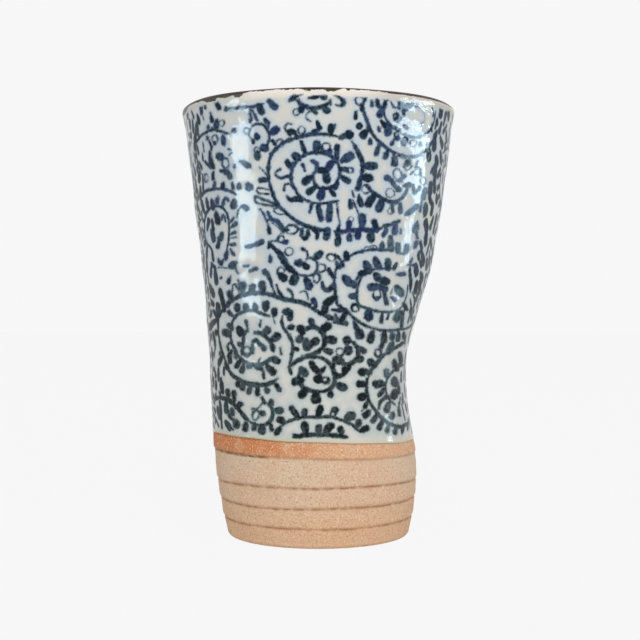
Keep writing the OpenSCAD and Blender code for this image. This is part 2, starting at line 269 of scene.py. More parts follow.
# Leaves, hearts and hooks, read off in the same way. Each stroke is its width at the start and at
# the end, in pixels, and then the points that the brush went through.
leafPixels = {
    "underTheRim": [
        (5, 5.5, (290, 100.5), (295, 96.5)), (5.5, 4, (296, 96), (301, 93)), (2, 2, (299, 99), (300, 104)),
        (6, 7, (303, 105), (301, 110)), (1.7, 1.7, (310, 111), (306, 115), (307, 119), (311, 121.5)),
        (3, 4, (311, 109), (316, 113)), (6, 7, (323, 107.5), (327, 110.5)),
        (3, 3, (330, 100), (330.5, 104)), (4, 4, (309, 98), (318, 97)), (8, 8, (322, 94), (323.5, 96.5)),
        (5, 6, (320, 90), (322, 93)), (3, 2, (332, 93), (335, 95.5)),
        (2, 4, (336, 96), (341, 98.5), (344, 102.5)), (4, 2.5, (343.5, 104), (340, 106), (336, 105)),
        (4, 5, (363, 104), (362, 110)), (4, 4.5, (356, 112), (355.5, 118)),
        (4, 4, (372, 101), (372, 105.5)), (4.5, 5, (377, 101), (378.5, 106), (383, 109)),
        (4.5, 4, (389, 97), (384.5, 98.5)), (4, 4.5, (386, 99), (384, 107)),
        (6, 7.5, (383, 110), (379.5, 114.5)), (6, 7, (259, 105), (262, 112)),
        (6, 7, (269, 101), (275, 107)), (4, 4, (250, 110), (251, 121)), (3, 3, (252, 110), (258, 121)),
        (4, 5, (265, 119), (268, 123)), (3, 3, (268, 123), (268.5, 128)), (4, 5, (216, 102), (219, 108)),
        (4, 4, (226, 108), (226, 110)), (3.5, 3.5, (201, 104), (201, 112)), (3, 3, (205, 106), (205, 108)),
        (2.5, 2.5, (187, 108), (187, 116)), (1.8, 4, (210, 112), (212, 121)),
    ],
    "bigRing": [
        (5, 4.5, (305, 153), (301.5, 142)), (7, 8, (316, 152), (317, 144)),
        (4, 6, (329, 155), (329.5, 152)), (4.5, 6, (337, 161), (337, 147)), (4, 4, (336, 163), (336, 157)),
        (6, 9, (342, 161), (350, 156)), (5.5, 6, (341, 169), (351, 170)), (5, 6.5, (341, 177), (348, 181)),
        (6, 8, (312, 176), (305, 182)), (5, 7, (315, 187), (309, 192.5)), (6, 8, (323, 188), (320.5, 197)),
        (4, 5, (329, 188), (334, 195)), (4, 5, (338, 182), (335, 188)), (6, 8, (299, 159), (295, 156)),
        (3, 4, (295, 163), (293, 163)), (5, 6, (292, 169), (287, 162)),
        (4, 2.5, (288, 176), (280, 178), (275, 173), (280, 169)),
        (2.5, 2.5, (284, 190), (285, 185), (290, 184), (295, 188), (297, 194)),
        (2.5, 6, (287, 196), (290, 200), (296, 199), (301, 200)), (5, 3, (312, 203), (309.5, 212)),
        (5, 6, (318, 205), (321, 219)), (6.5, 7, (330, 204), (329, 219)),
        (2.5, 2, (337, 202), (338, 213), (340, 224)),
    ],
    "bigHeart": [
        (7, 7, (319, 170), (326, 171)), (6, 7.5, (326, 171), (331, 163.5)), (6, 8, (325, 172), (327, 180)),
        (5.5, 5, (312.5, 161), (316.5, 163.5)), (5, 3.5, (316.5, 164), (316.5, 171), (313.5, 173.5)),
        (5, 3, (302.5, 165), (305, 170.5)),
    ],
    "overTheBigBack": [
        (5.5, 8, (270, 133), (276, 130)), (3.5, 4, (276, 146), (272.5, 141)),
        (2.2, 2.2, (291.5, 124.5), (287.5, 123.5), (285, 127), (286, 131)), (5, 8, (288, 132), (293, 133)),
        (6, 6, (293, 132), (296, 137)), (5, 5, (303, 134), (303, 135)), (4, 5, (317, 122), (320, 128)),
        (5.5, 6, (318, 131), (314, 132)), (6, 7, (331, 134), (331, 127)),
        (2.5, 3, (333.5, 131), (335, 125)), (9, 9.5, (348.5, 133.5), (349, 134.5)),
        (5, 6, (340, 138), (344, 136)), (7, 7, (359, 125), (359, 126)), (7, 8, (365, 132), (363, 135)),
        (4, 4.5, (370, 139), (370, 143)), (3, 3.5, (367, 124), (368, 131)),
    ],
    "leftOfTheBigBack": [
        (2, 2, (268, 177), (264, 172), (259, 167)), (4, 6, (269, 179), (261, 180)),
        (2, 2, (269, 190), (258, 188), (258, 193), (269, 194)),
        (4, 3, (280, 207), (271, 202.5), (262, 199), (256, 196)),
        (2.5, 3, (255, 196), (256, 202), (264, 204.5), (274, 206)),
        (2, 3, (260, 209), (264, 215), (267, 221)),
        (3.5, 5, (268, 213), (271, 219), (277, 221.5), (281, 226), (283, 231)),
        (3, 4.5, (268, 224), (269.5, 233)),
        (1.8, 1.8, (272, 223), (277, 226), (281, 231), (279, 237), (277, 241)),
        (5, 5, (284, 230), (287, 230)), (5, 5.5, (283, 242), (286, 242)),
        (2.5, 2.5, (269, 242), (276, 240.5)), (3, 3, (269, 242), (269, 248)),
    ],
    "underTheBigBack": [
        (5, 5, (302, 229), (301.5, 235)), (5, 5, (308, 230), (308, 235)),
        (4, 5.5, (302.5, 238), (306, 238)), (6, 4, (314, 229), (317, 233), (317, 238)),
        (9, 7.5, (327, 230), (326.5, 237)), (3, 3, (340, 224), (339, 228)),
        (5.5, 5.5, (338.5, 229), (338, 235)), (5, 7, (338, 236), (338, 243)),
    ],
    "bigSide": [
        (7, 8, (364, 166), (374, 166)), (6, 8.5, (362, 177), (369, 178)), (4, 6, (361, 182), (358, 188)),
        (4, 5, (350, 200), (351, 207)), (2, 2, (352, 191), (354, 197)), (2, 2, (353, 200), (359, 214)),
        (3, 6.5, (359, 195), (361, 204)),
    ],
    "row": [
        (4.5, 6, (348, 231), (349.5, 223)), (6, 8, (362, 229), (362.5, 217)),
        (5, 6.5, (377, 229), (374.5, 222)), (4, 6, (350, 233), (349.5, 239)),
        (6, 7, (358, 232), (358, 236.5)), (6, 8, (371, 232), (371, 239)),
        (4, 4, (385, 226), (392, 224.5), (399, 221)), (4.5, 5, (386, 227), (386, 231), (384, 235)),
        (6, 6.5, (396, 225), (395, 232.5)), (6, 6.5, (390.5, 237), (391, 249)),
        (2, 5.5, (383, 242), (382, 248)), (7, 6, (398, 245), (398, 251)),
        (6.5, 6, (407, 246), (406, 251.5)), (3, 3, (399, 253.5), (405, 253.5)),
    ],
    "rightScroll": [
        (4, 5, (381, 121), (385, 127)), (6, 8, (388, 127), (387.5, 132.5)),
        (3, 4, (377.5, 127), (379, 130.5)), (5, 5, (386, 124), (398, 130)),
        (9, 9.5, (396, 116), (397, 118)), (4, 3, (402, 110), (404, 116)),
        (4.5, 6, (400, 100), (402, 106), (405, 109)), (3, 3, (398, 108), (403, 109)),
        (6.5, 7, (408, 102), (410, 105)), (2.5, 2.5, (413, 102), (418, 103)),
        (4, 4, (403.5, 126), (406.5, 128.5)), (5.5, 6, (395, 134), (397, 138)),
        (4, 3.5, (394, 139), (391.5, 144)), (6, 6.5, (406, 137), (403.5, 143)),
        (4, 4.5, (420, 143), (420, 144.5)), (4, 5.5, (379, 144), (376, 154)),
        (4, 5.5, (388, 150), (385, 157)), (6, 7, (395, 155), (394.5, 163.5)),
        (5, 6.5, (409, 159), (407.5, 164)), (2, 2, (404, 167), (408, 170), (412, 166)),
        (5, 7, (442, 107), (441, 114)), (4, 4, (447, 126), (441, 131)), (4, 4.5, (436, 133), (434, 139)),
        (6, 6, (434, 142), (434, 147)), (4.5, 5, (427, 146), (429, 157)), (3, 3, (437, 120), (437, 123)),
        (3, 4, (440, 137), (445, 147)), (4, 4, (436, 158), (437, 163)), (2.5, 2.5, (440, 152), (441, 160)),
        (3, 3, (444, 158), (447, 168)), (4, 5, (431, 172), (436.5, 166)),
        (3.5, 3.5, (436, 172), (434, 183)), (3, 3, (440, 170), (438, 176)),
        (3.5, 4, (441, 183), (438, 187)), (3, 3, (418, 161), (417, 164)),
        (2.5, 2.5, (416, 167), (420, 168), (421, 176)), (3, 3, (411, 174), (413.5, 172)),
    ],
    "nest": [
        (6.5, 5, (387, 178), (392, 181), (396, 187)), (6, 6.5, (398, 188), (398.5, 189)),
        (5.5, 4, (404.5, 176), (400, 180)), (3, 3, (396, 181), (402, 181)),
        (7, 8, (375, 194), (368.5, 203.5)), (7, 8.5, (382, 200), (379.5, 208.5)),
        (5, 3, (392, 203), (393, 212)), (4, 5, (400, 203), (400.5, 212)),
        (3.5, 5.5, (404, 186), (409.5, 184.5)), (4, 4.5, (413, 185), (414, 193)),
        (4, 4, (415, 193), (419.5, 187.5)), (5, 5.5, (425, 190), (423, 196)),
        (6, 6, (430.5, 186), (429.5, 192)), (3, 3, (434.5, 185), (434, 190)),
        (4, 6, (406, 215), (412, 210), (417, 206.5)), (3, 3, (420, 211), (420, 205), (422, 198)),
        (3, 4, (428, 197), (432, 204)), (3.5, 3, (432, 205), (431, 213)), (5, 6, (425, 206), (425, 212)),
        (2, 2.5, (436, 195), (436, 201)), (2, 2.5, (440, 193), (440, 199)), (3, 3, (401, 229), (401, 233)),
        (3, 6.5, (417.5, 222), (415, 230)), (5, 3, (416, 231), (417.5, 238)),
        (5, 6.5, (425.5, 222), (427, 228)), (3, 4.5, (427, 232), (426, 242)),
        (3, 4, (436, 217), (434, 231)), (5, 4.5, (417, 242), (415, 247)),
        (3, 3, (421, 243), (422, 249), (419, 253), (419, 258)), (3, 4, (422, 252), (424, 262)),
        (3, 4, (420, 261), (422, 265)), (3, 3, (431, 240), (432, 247)), (3, 3, (430, 252), (428, 266)),
        (3, 3, (433, 250), (432, 258)),
    ],
    "topScroll": [
        (6, 6.5, (256.5, 135), (257, 137)), (5, 5, (252, 140.5), (253, 141.5)),
        (6, 8, (262, 147), (265, 148)), (5.5, 7, (257, 152), (257, 157)), (4.5, 6, (240, 161), (248, 166)),
        (3, 3.5, (234, 165), (234, 167)), (8, 8.5, (248, 185), (249, 187)),
        (5, 5.5, (239, 184.5), (239, 187.5)), (4, 4, (232, 183), (233, 188)),
        (4, 5, (223, 183), (222.5, 188)), (3.5, 3.5, (214.5, 182), (214, 188.5)),
        (4, 4, (208, 126), (208, 128)), (4, 4, (212, 128), (212, 130)), (4, 6, (217, 120), (216, 127)),
        (4.5, 5, (234, 129), (234, 131)), (3.5, 3.5, (208, 137), (208, 139)),
        (4, 4.5, (215, 142), (215, 143)), (4.5, 5.5, (223, 136), (223.5, 143)),
        (7, 8, (218, 155.5), (220, 157)), (4, 4.5, (205, 162), (211.5, 166.5)),
        (4, 5, (223, 172), (229, 175)), (3, 3.5, (213, 172), (213, 179)), (3, 3, (199, 174), (199, 179)),
        (3, 4, (209.5, 152), (210.5, 160), (213, 168)), (4, 5.5, (221, 171), (226, 171.5), (230, 177.5)),
        (2, 2.6, (207, 137), (210, 142), (212, 147)), (2.4, 2.4, (228, 149), (230, 149.5)),
        (2.2, 2.2, (229, 155), (231, 153)),
    ],
    "lowLeft": [
        (3, 3.5, (207, 200), (208, 206)), (4, 5, (212, 201), (213, 206)),
        (2.5, 4.5, (218, 196), (217, 203)), (3.5, 3.5, (228, 200), (225, 198.5), (222.5, 205)),
        (6, 7, (234, 200.5), (234, 206)), (2, 2, (241, 207), (238, 211), (237, 217)),
        (5.5, 6, (243.5, 206), (246.5, 208.5)), (3, 6, (216, 211), (218, 222)),
        (2.5, 2.5, (221.5, 220), (223.5, 214.5), (225.5, 221)), (3, 3, (230, 223), (233.5, 218)),
        (3.5, 4.5, (231, 227), (235.5, 223.5)), (3.5, 4, (231, 234), (235, 232.5)),
        (2, 2, (231, 238), (236, 237)), (4, 4, (230, 245), (235, 244.5)), (3, 3, (231, 249), (234.5, 255)),
        (4, 4.5, (227.5, 251), (226.5, 259)), (3, 3, (212, 221), (213, 229)),
        (5, 6, (211.5, 232), (213.5, 238)), (5, 5.5, (222, 233.5), (220.5, 239)),
        (4, 4.5, (219, 241), (218, 247)), (2.5, 2.5, (207, 243), (212, 250), (214, 260)),
        (3, 4, (219, 259), (221.5, 264)), (3, 3, (224, 259), (222.5, 263)), (4, 4, (212, 264), (216, 268)),
        (3, 2.5, (212, 267), (211, 275)), (3.5, 4.5, (215.5, 270), (216.5, 281)),
        (2.5, 2.5, (220, 278), (221, 278)), (5, 7, (236.5, 262.5), (232, 266)),
        (4, 2, (235, 266), (238, 273)), (1.6, 1.6, (219, 267.5), (228, 268)),
        (3, 3.5, (244, 266), (248, 266)), (4.5, 4.5, (250, 270.5), (256, 269)),
        (2, 4.5, (231, 276), (228.5, 282)), (2, 4.5, (270, 255), (270.5, 261)),
        (4, 4.5, (246, 247), (253, 246)), (4.5, 6, (254, 245.5), (262, 242)),
        (3, 4, (202, 222), (203, 230)), (3, 4, (201, 205), (203, 212)),
    ],
    "hook": [
        (8, 8.5, (297, 263), (299, 263)), (5.5, 6.5, (303.5, 263.5), (306.5, 267)),
        (4, 4, (299, 263), (304, 265)), (8, 9, (296, 275), (293.5, 281)), (4, 8, (278, 273.5), (284, 278)),
        (6, 8.5, (306, 278), (309, 286)), (6.5, 7.5, (315, 258), (320, 254)),
        (4.5, 2.5, (303, 249), (307, 252), (308, 257)), (3, 3.5, (335, 255), (340, 259), (343, 266)),
        (4, 5.5, (336, 262), (339, 267)), (7.5, 6.5, (346, 254), (347, 258)),
        (4, 6, (322, 283), (323.5, 288), (328, 290), (334, 285.5)), (6.5, 5, (328.5, 270), (334, 277)),
        (6, 8, (336, 297), (326.5, 303)),
        (6.5, 2.5, (264.5, 272), (268, 275), (271, 283), (274, 291), (276, 297)),
        (2.5, 4, (276.5, 285), (279, 292), (283, 298)), (6, 9, (343.5, 276.5), (348.5, 282)),
        (9, 8, (350, 283), (354.5, 285)), (6, 7, (350, 296), (355, 296)),
    ],
    "vine": [
        (7, 7, (325, 304), (325, 311)), (5, 5, (333, 310), (345, 310)), (6, 6, (346, 312), (341, 321)),
        (5, 5, (335, 322), (346, 323.5)), (4, 4, (335, 314), (338, 321)), (5, 5, (328, 316), (329, 318)),
        (5, 6.5, (316, 307), (313.5, 300.5)),
        (1.7, 1.7, (300, 292.5), (304, 291), (307.5, 294.5), (308, 299.5)),
        (3, 3, (288, 289), (292, 293), (293.5, 300)), (5.5, 6, (313, 327), (311, 321)),
        (7.5, 8, (242, 291), (242, 285)), (2.5, 2, (240, 291), (238, 280)),
        (7.5, 7.5, (252, 291), (252, 287)), (7.5, 7.5, (262.5, 290), (262, 284)),
        (2.2, 2.2, (232, 292), (232.5, 286), (235, 284.5), (238, 290), (240, 296)),
        (5, 6, (232, 301), (229, 293)), (4.5, 5, (224, 309), (222, 300), (220, 292)),
        (5, 5, (230, 300), (227, 306)), (6, 6, (218, 307), (219, 313)), (4, 5, (213, 311), (218, 316)),
        (4, 5, (218, 319), (213, 323), (209.5, 328)), (4, 4, (213, 335), (214, 341)),
        (3, 4, (211.5, 343), (215, 353)), (3, 3, (211, 350), (212, 358)), (4, 5, (222, 357), (218.5, 363)),
        (4, 5, (225, 363), (228, 368.5)), (5, 5, (210, 287), (213, 294)), (4, 6, (243, 382), (242.5, 388)),
        (4, 5, (239, 380), (238, 385)), (5, 5.5, (251, 385), (249, 392)), (5, 5.5, (258, 386), (257, 394)),
        (6, 6.5, (266, 389.5), (267, 390.5)), (4.5, 5.5, (275, 383), (279, 389.5)),
    ],
    "wheel": [
        (6.5, 6.5, (237, 305), (237.5, 309)), (6, 7, (245.5, 305), (246, 309)),
        (5.5, 6, (255, 304), (255.5, 309)), (6.5, 7.5, (266, 310), (266, 304)),
        (5.5, 6.5, (275, 315), (274.5, 311)), (2, 2, (273.5, 317), (275, 323)),
        (4, 5, (233, 316), (228.5, 312)), (5, 6, (232, 329), (229.5, 325.5)),
        (6, 8, (229, 335), (225.5, 332.5)), (3, 3, (233, 346), (229.5, 343), (227, 346), (228, 350)),
        (4, 4.5, (231, 351), (229, 356), (230, 362)), (5, 5, (235, 350), (236, 357)),
        (5, 6, (240, 360), (237, 366)), (5, 6, (244, 364), (242, 371)), (5, 5, (247, 366), (249.5, 367)),
        (3.5, 3, (246, 321), (247, 326), (247.5, 331)), (7.5, 8, (238.5, 328.5), (241, 333)),
        (5, 5, (238.5, 343), (240, 345)), (3.5, 3.5, (241.5, 350), (242, 354)),
        (4, 4, (252.5, 345), (252.5, 353)), (5, 5, (253, 342), (256, 340.5)),
        (4.5, 4, (257, 341.5), (260.5, 345.5)), (5.5, 6, (262, 346), (264, 348.5)),
        (3, 3, (261, 320), (260, 326)), (2.5, 2.5, (254, 333.5), (262, 332)),
        (5, 7.5, (263, 335), (267.5, 330)), (4, 4, (264, 336), (271, 341)), (5, 8, (272, 341), (277, 336)),
        (4, 4, (272, 343), (273, 348)), (3, 3, (280, 348), (281, 354)), (2, 2, (260, 358), (258, 363)),
        (5, 7, (271, 358.5), (277.5, 361)), (6, 7.5, (267, 366), (273, 372)),
        (5, 5, (257, 368), (261, 369)), (3, 3, (261, 369), (263.5, 373), (264, 378)),
        (6, 8, (284, 312), (289, 312)), (7, 6, (291, 313), (290, 318)), (4, 6, (288, 328), (292, 327)),
        (4, 5, (292, 349), (297, 349)), (4, 4, (289, 368), (291, 373)),
    ],
    "petals": [
        (8, 8.5, (365.5, 263), (369, 270)), (6.5, 7.5, (375, 259), (378.5, 266.5)),
        (7.5, 7, (387.5, 261), (388, 267.5)), (4, 4.5, (396.5, 264), (394, 268)),
        (2.5, 3, (412.5, 258), (410.5, 263)), (3, 3, (408, 265), (415, 265)),
        (5, 5.5, (416, 266), (417, 272.5)), (4.5, 4.5, (398, 274.5), (404, 274)),
        (5, 7, (367, 272), (361, 273.5)), (4, 4, (359, 276), (357, 279)), (5, 6, (419, 284), (416, 289)),
        (3, 4, (421, 273), (423, 280)), (3, 3, (428, 271), (427, 283)), (7, 8, (375.5, 274.5), (379, 279)),
        (8, 9, (382, 280), (386, 281.5)), (6, 8, (378, 287), (371, 287.5)), (8, 6, (377, 286), (386, 289)),
        (5, 5, (376, 298.5), (377, 298.5)), (4, 4, (384, 290), (385, 296)),
        (5, 5, (385.5, 298), (386.5, 303.5)), (2, 2, (392.5, 289), (391, 294)),
        (3.5, 4.5, (391.5, 297.5), (395, 299.5)), (7, 8, (397, 287), (401, 293)),
        (7, 9, (368, 311), (368.5, 317)), (4, 4, (382, 313), (381, 322)), (3, 2.5, (389, 313), (387, 319)),
        (8, 7, (398, 312), (396, 319)), (4, 4, (401, 320), (401, 326)), (7, 8, (372, 333), (370.5, 339.5)),
        (7, 7, (384, 333), (384, 340)), (5, 5, (383, 342), (381, 347)), (5, 6, (392, 333), (392, 338)),
        (5, 5.5, (398, 333), (397.5, 339)), (3.5, 4, (403.5, 333), (403.5, 338)),
        (6, 6.5, (392, 343), (390, 348.5)), (4.5, 5.5, (354, 322), (357, 329)),
        (7, 9.5, (358, 331), (360, 335)),
    ],
    "twins": [
        (6, 8, (304, 332), (300.5, 328.5)), (4, 7.5, (303, 338), (299, 339.5)),
        (7, 8.5, (306, 340), (307, 347)), (8.5, 9, (308, 347), (308.5, 346)),
        (8, 8.5, (312, 343), (315.5, 341)), (6, 8.5, (326, 339), (333, 340)),
        (6, 6.5, (325, 350.5), (330.5, 352)), (7, 8.5, (321, 331), (327.5, 326)),
        (7, 8, (301, 369), (305, 373)), (7, 8.5, (302, 379.5), (295.5, 381.5)),
        (6, 8, (307, 389), (301.5, 395)), (8, 9.5, (315.5, 394), (316, 399.5)),
        (5, 6.5, (330, 391), (330.5, 395)), (6, 8, (336, 384), (343.5, 387.5)),
        (4, 5, (334, 378), (341, 376), (346, 371)), (7, 9, (316, 379), (319, 379)),
        (6.5, 8, (322, 380), (326.5, 380.5)), (5, 6, (319, 374), (320, 378)),
        (7, 7, (311, 363), (317, 371)), (4.5, 5.5, (325, 367), (320, 373)),
        (6, 8, (347, 344), (347, 339.5)), (8, 9, (348, 348), (348.5, 351)),
        (7, 9, (342, 361), (336.5, 360)), (4, 4, (353, 343), (358, 347)), (5, 6, (358, 347.5), (364, 351)),
        (5, 7, (357, 360), (361, 359)), (6, 7.5, (349, 366), (345, 370)),
        (4, 4, (333, 364), (334, 372), (338, 376)),
    ],
    "fan": [
        (6, 8, (374, 366), (370.5, 362)), (7, 8.5, (369, 373), (362, 372)),
        (6, 7.5, (366, 384), (359.5, 384)), (6, 8, (366, 396), (361, 397.5)),
        (5, 5, (367, 403), (365, 407)), (1.6, 1.6, (365, 408), (362, 411.5)),
        (5, 7, (370, 411), (365.5, 415.5)), (5, 6, (377, 415), (373.5, 421)),
        (4.5, 5.5, (383, 420), (379.5, 428)), (4, 4.5, (389, 425), (387, 431)),
        (4.5, 5, (396, 428), (395, 432)), (4, 4, (404, 427), (402, 431)), (5, 6, (386, 353), (390, 350)),
        (5, 6, (386, 376), (386, 371)), (7, 8, (383, 384), (376, 384)), (5, 5.5, (384, 389), (380, 394.5)),
        (5.5, 3, (387, 397), (382, 400), (380, 404), (379, 409)), (6, 6.5, (388.5, 404), (387, 410)),
        (5, 5.5, (393, 413), (392, 417)), (3.5, 3.5, (399, 407), (399.5, 415)),
        (7, 7.5, (394, 379), (394.5, 383.5)), (7, 7.5, (395, 391), (394, 396)),
        (4, 4, (398.5, 387), (398, 393)), (5.5, 6, (394, 361), (396, 369)), (5, 5, (400, 353), (401, 361)),
        (3, 3, (401, 373), (401, 380)), (2.5, 2.5, (404, 385), (405, 395)),
        (3, 3, (402.5, 395), (403, 401)), (2.5, 2.5, (405, 403), (407, 411)),
    ],
    "foot": [
        (5.5, 7, (304.5, 416), (304.5, 411.5)), (6.5, 8, (318, 415), (320, 409)),
        (6.5, 7.5, (332.5, 416), (335, 410)), (6, 9, (345, 420), (351.5, 415.5)),
        (5.5, 6.5, (358, 426), (359, 422)), (5.5, 6.5, (361, 431), (366.5, 428.5)),
        (7, 8, (306, 432), (304.5, 425)), (6.5, 7, (319, 433), (319, 427.5)),
        (6.5, 8, (325, 432), (330.5, 426)), (5.5, 6.5, (342, 434), (340, 429)),
        (4, 3, (300, 435), (294, 435)),
    ],
    "corner": [
        (4, 5, (229, 397), (228, 391)), (4, 5, (234, 401), (234, 392.5)),
        (3.5, 4.5, (223, 392), (222, 385)), (5, 6, (236, 408), (240, 404)),
        (6, 6, (218, 410), (219.5, 416)), (5, 5, (226, 404), (226, 410)),
        (4.5, 5, (232, 409), (232.5, 414)), (3.5, 3.5, (228, 411), (230, 417), (234, 420)),
        (6, 7, (235, 421), (237, 425.5)), (6.5, 7, (226, 423), (229.5, 428)),
        (3, 3, (220, 402), (221, 412)), (2.2, 2.2, (221, 415), (222, 428)),
        (2.2, 2.2, (216, 419), (219, 427)), (5, 6.5, (246, 423), (245.5, 429)),
        (7, 7, (261, 413), (262, 413.5)), (2.5, 2.5, (252, 409), (258, 408), (262, 403)),
        (4, 4, (262, 398), (264, 403)), (6, 6.5, (271, 401), (271, 403.5)),
        (2, 2.5, (270, 407), (273, 409)), (5, 5.5, (254.5, 424), (254, 428.5)),
        (7, 8, (262.5, 426), (262, 431)), (4, 5, (270, 424), (272, 429.5)),
        (5, 7.5, (275, 410), (280, 411)), (5.5, 7.5, (284, 422), (280, 419.5)),
        (4.5, 6, (281, 429), (276.5, 432.5)), (5, 6.5, (298, 418), (295, 413), (291.5, 408.5)),
    ],
    "leftEdge": [
        (2.5, 3, (187, 107), (187.5, 115)), (2, 2, (189, 121), (189.5, 127)),
        (1.3, 2, (191, 110), (193, 117)), (1.5, 1.5, (186, 121), (187.5, 134)),
        (3, 3.5, (197, 116), (198.5, 121.5)), (1.3, 1.3, (201, 112), (203, 119)),
        (3, 4, (196, 124), (196.5, 131)), (1.6, 1.6, (188.5, 136), (190.5, 147)),
        (3.2, 3.6, (195, 136), (195, 147)), (2, 2, (188, 144), (189, 152)),
        (1.8, 2, (197, 146), (198.5, 153)), (1.5, 1.5, (203, 143), (204, 151)),
        (2, 2, (207.5, 137), (210, 142), (211.5, 150)), (2.6, 3, (191, 155), (192, 166)),
        (2.2, 2.4, (193.5, 152), (195, 162)), (1.8, 1.8, (202.5, 154), (203, 160)),
        (2, 2.4, (199, 162), (201.5, 168)), (2.4, 2.8, (193, 171), (194.5, 180)),
        (1.6, 1.8, (202, 175), (203.5, 187)), (2.6, 3, (195.5, 181), (196.5, 190)),
        (2.4, 2.6, (200.5, 188), (201, 196)), (2.2, 2.4, (198, 191), (199, 198)),
        (3, 3.2, (209.5, 153), (210, 162)), (2.4, 2.6, (195, 190), (196, 197)),
        (2.2, 2.6, (197.5, 198), (198, 208)), (3, 3.5, (201.5, 200), (203.5, 208)),
        (2, 2.2, (199, 207), (200.5, 214)), (2.5, 3, (202, 212), (202.5, 218)),
        (1.6, 1.8, (199, 212), (199.5, 228), (200.5, 240), (202, 252)),
        (2.6, 3, (204.5, 230), (204.5, 244)), (2.2, 2.2, (207, 246), (207, 256)),
        (2.6, 3, (204, 256), (204, 266)), (2, 2.2, (207, 258), (207.5, 270)),
        (2, 2.2, (205.5, 270), (206, 281)), (2.2, 2.2, (208, 276), (209, 284)),
        (2.6, 3, (205, 282), (206, 291)), (2.4, 2.4, (209.5, 286), (210, 300)),
        (1.6, 1.6, (205, 290), (206, 300)), (2.6, 3, (206.5, 298), (207, 304)),
        (2.6, 2.6, (209, 299), (209.5, 305)), (2, 2.2, (206.5, 306), (207.5, 314)),
        (4.5, 5, (217, 306), (218, 312)), (2.6, 2.6, (208.5, 324), (208.5, 334)),
        (2.4, 2.4, (211, 334), (211.5, 339)), (2.2, 2.2, (210, 344), (211, 350)),
        (2.4, 2.4, (224, 368), (224, 373)), (3, 3.2, (212, 370), (212, 378)),
        (2.2, 2.4, (214.5, 369), (216, 376)), (2.4, 2.8, (218.5, 369), (219, 379)),
        (4, 4, (214, 380), (214, 384)), (2.6, 2.6, (216.5, 382), (216.5, 387)),
        (3, 3, (221.5, 379), (221.5, 386)), (2.6, 2.6, (212.5, 385), (213, 394)),
        (3.4, 3.6, (213.5, 394), (213.5, 402)), (2.4, 2.4, (212.8, 402), (213, 414)),
        (2.4, 2.4, (220.5, 404), (220.5, 410)), (2, 2, (232, 428), (233, 430)),
    ],
    "rightEdge": [
        (4, 7, (442, 106), (441.5, 111)), (2.2, 2.4, (448.5, 110), (449, 118)),
        (2, 2, (448, 118), (447.5, 125)), (2.6, 3, (453, 114), (453, 122)),
        (3.5, 4, (451, 123), (452, 128)), (2.2, 2, (452.5, 129), (451.5, 138)),
        (1.8, 2, (436, 124), (435, 128)), (1.3, 1.3, (432, 108), (433.5, 112), (433, 116)),
        (1.6, 1.6, (431.5, 124), (431.5, 131)), (2.2, 2.2, (450, 130), (449, 140)),
        (2, 2.4, (446.5, 132), (446.5, 140)), (5, 5, (445, 140), (444.5, 146)),
        (3, 2.5, (445.5, 148), (445, 155)), (2, 2, (452, 140), (450.5, 150)),
        (2.4, 2.4, (449, 148), (448.5, 156)), (3, 2.4, (447, 166), (444, 173)),
        (1.6, 1.6, (443, 174), (442, 182)), (1.6, 1.6, (446, 173), (444.5, 182)),
        (4.5, 5, (435.5, 166), (434.5, 172)), (2, 2, (444, 180), (443, 190)),
        (2.4, 2.6, (442.5, 188), (441.5, 199)), (3.6, 4, (440, 192), (439.5, 200)),
        (3, 3.4, (426, 192), (430, 193)), (2.4, 2.6, (429, 195), (430, 200)),
        (2, 2, (424, 212), (424, 216)), (1.6, 1.8, (440, 202), (439, 215)),
        (4, 4.4, (435.5, 225), (434, 231)), (1.6, 1.6, (438, 228), (436.5, 240)),
        (1.8, 2, (430, 243), (427, 254)), (2, 2.2, (432.5, 244), (432, 252)),
        (2, 2, (435, 242), (434, 252)), (3, 3.6, (428, 256), (432, 258)),
        (2.4, 2.4, (427, 260), (426.5, 267)), (3.4, 3, (432, 258), (431.5, 263)),
        (1.8, 1.8, (430, 262), (429, 270)), (1.8, 1.8, (433.5, 262), (431.5, 275)),
        (2, 2.2, (425, 271), (424, 279)), (4, 4.6, (417, 283), (416.5, 290)),
        (3.4, 4, (420.5, 282), (420, 291)), (2.4, 2.4, (425.5, 289), (422.5, 298)),
        (3, 3, (418, 294), (417, 299)), (2, 2, (413, 293), (417, 299)), (4.6, 4.6, (404, 304), (406, 309)),
        (5, 4, (402, 312), (401.5, 322)), (1.8, 1.8, (410.5, 300), (411, 306)),
        (2.6, 2.6, (411, 307), (409.5, 312)), (3.6, 3.6, (411.5, 310), (411, 317)),
        (2.4, 2.4, (409, 316), (407.5, 322)), (2.2, 2.2, (412.5, 318), (411.5, 323)),
        (2.4, 2.4, (415, 299), (414.5, 305)), (2.2, 2.2, (419, 300), (417, 306)),
        (2.8, 2.8, (418, 306), (416, 312)), (1.8, 1.8, (421.5, 298), (420, 303)),
        (1.6, 1.6, (413.5, 306), (413.5, 312)),
        (2.6, 2.6, (400, 329.5), (406, 328.5), (411, 326), (413, 322)),
        (2.6, 2.8, (411.5, 327), (409.5, 334), (408.5, 340)), (2, 2, (405.5, 335), (405, 344)),
        (3, 3, (397, 366), (401, 363)), (2, 2.2, (405.5, 354), (404.5, 365)),
        (1.8, 1.8, (406.5, 351), (406, 362)), (2, 2, (404, 366), (403.5, 378)),
        (2.4, 2.4, (398, 383), (398, 390)), (3.4, 3.4, (396, 391), (399, 393)),
        (1.8, 1.8, (400.5, 397), (399.5, 404)), (1.8, 1.8, (402, 405), (405, 419)),
        (2.4, 2.4, (405, 403), (406, 408)), (2.6, 2.6, (408.5, 420), (407, 428)),
        (1.8, 1.8, (407, 423), (403, 424)), (1.6, 1.6, (409.5, 424), (409.8, 427)),
    ],
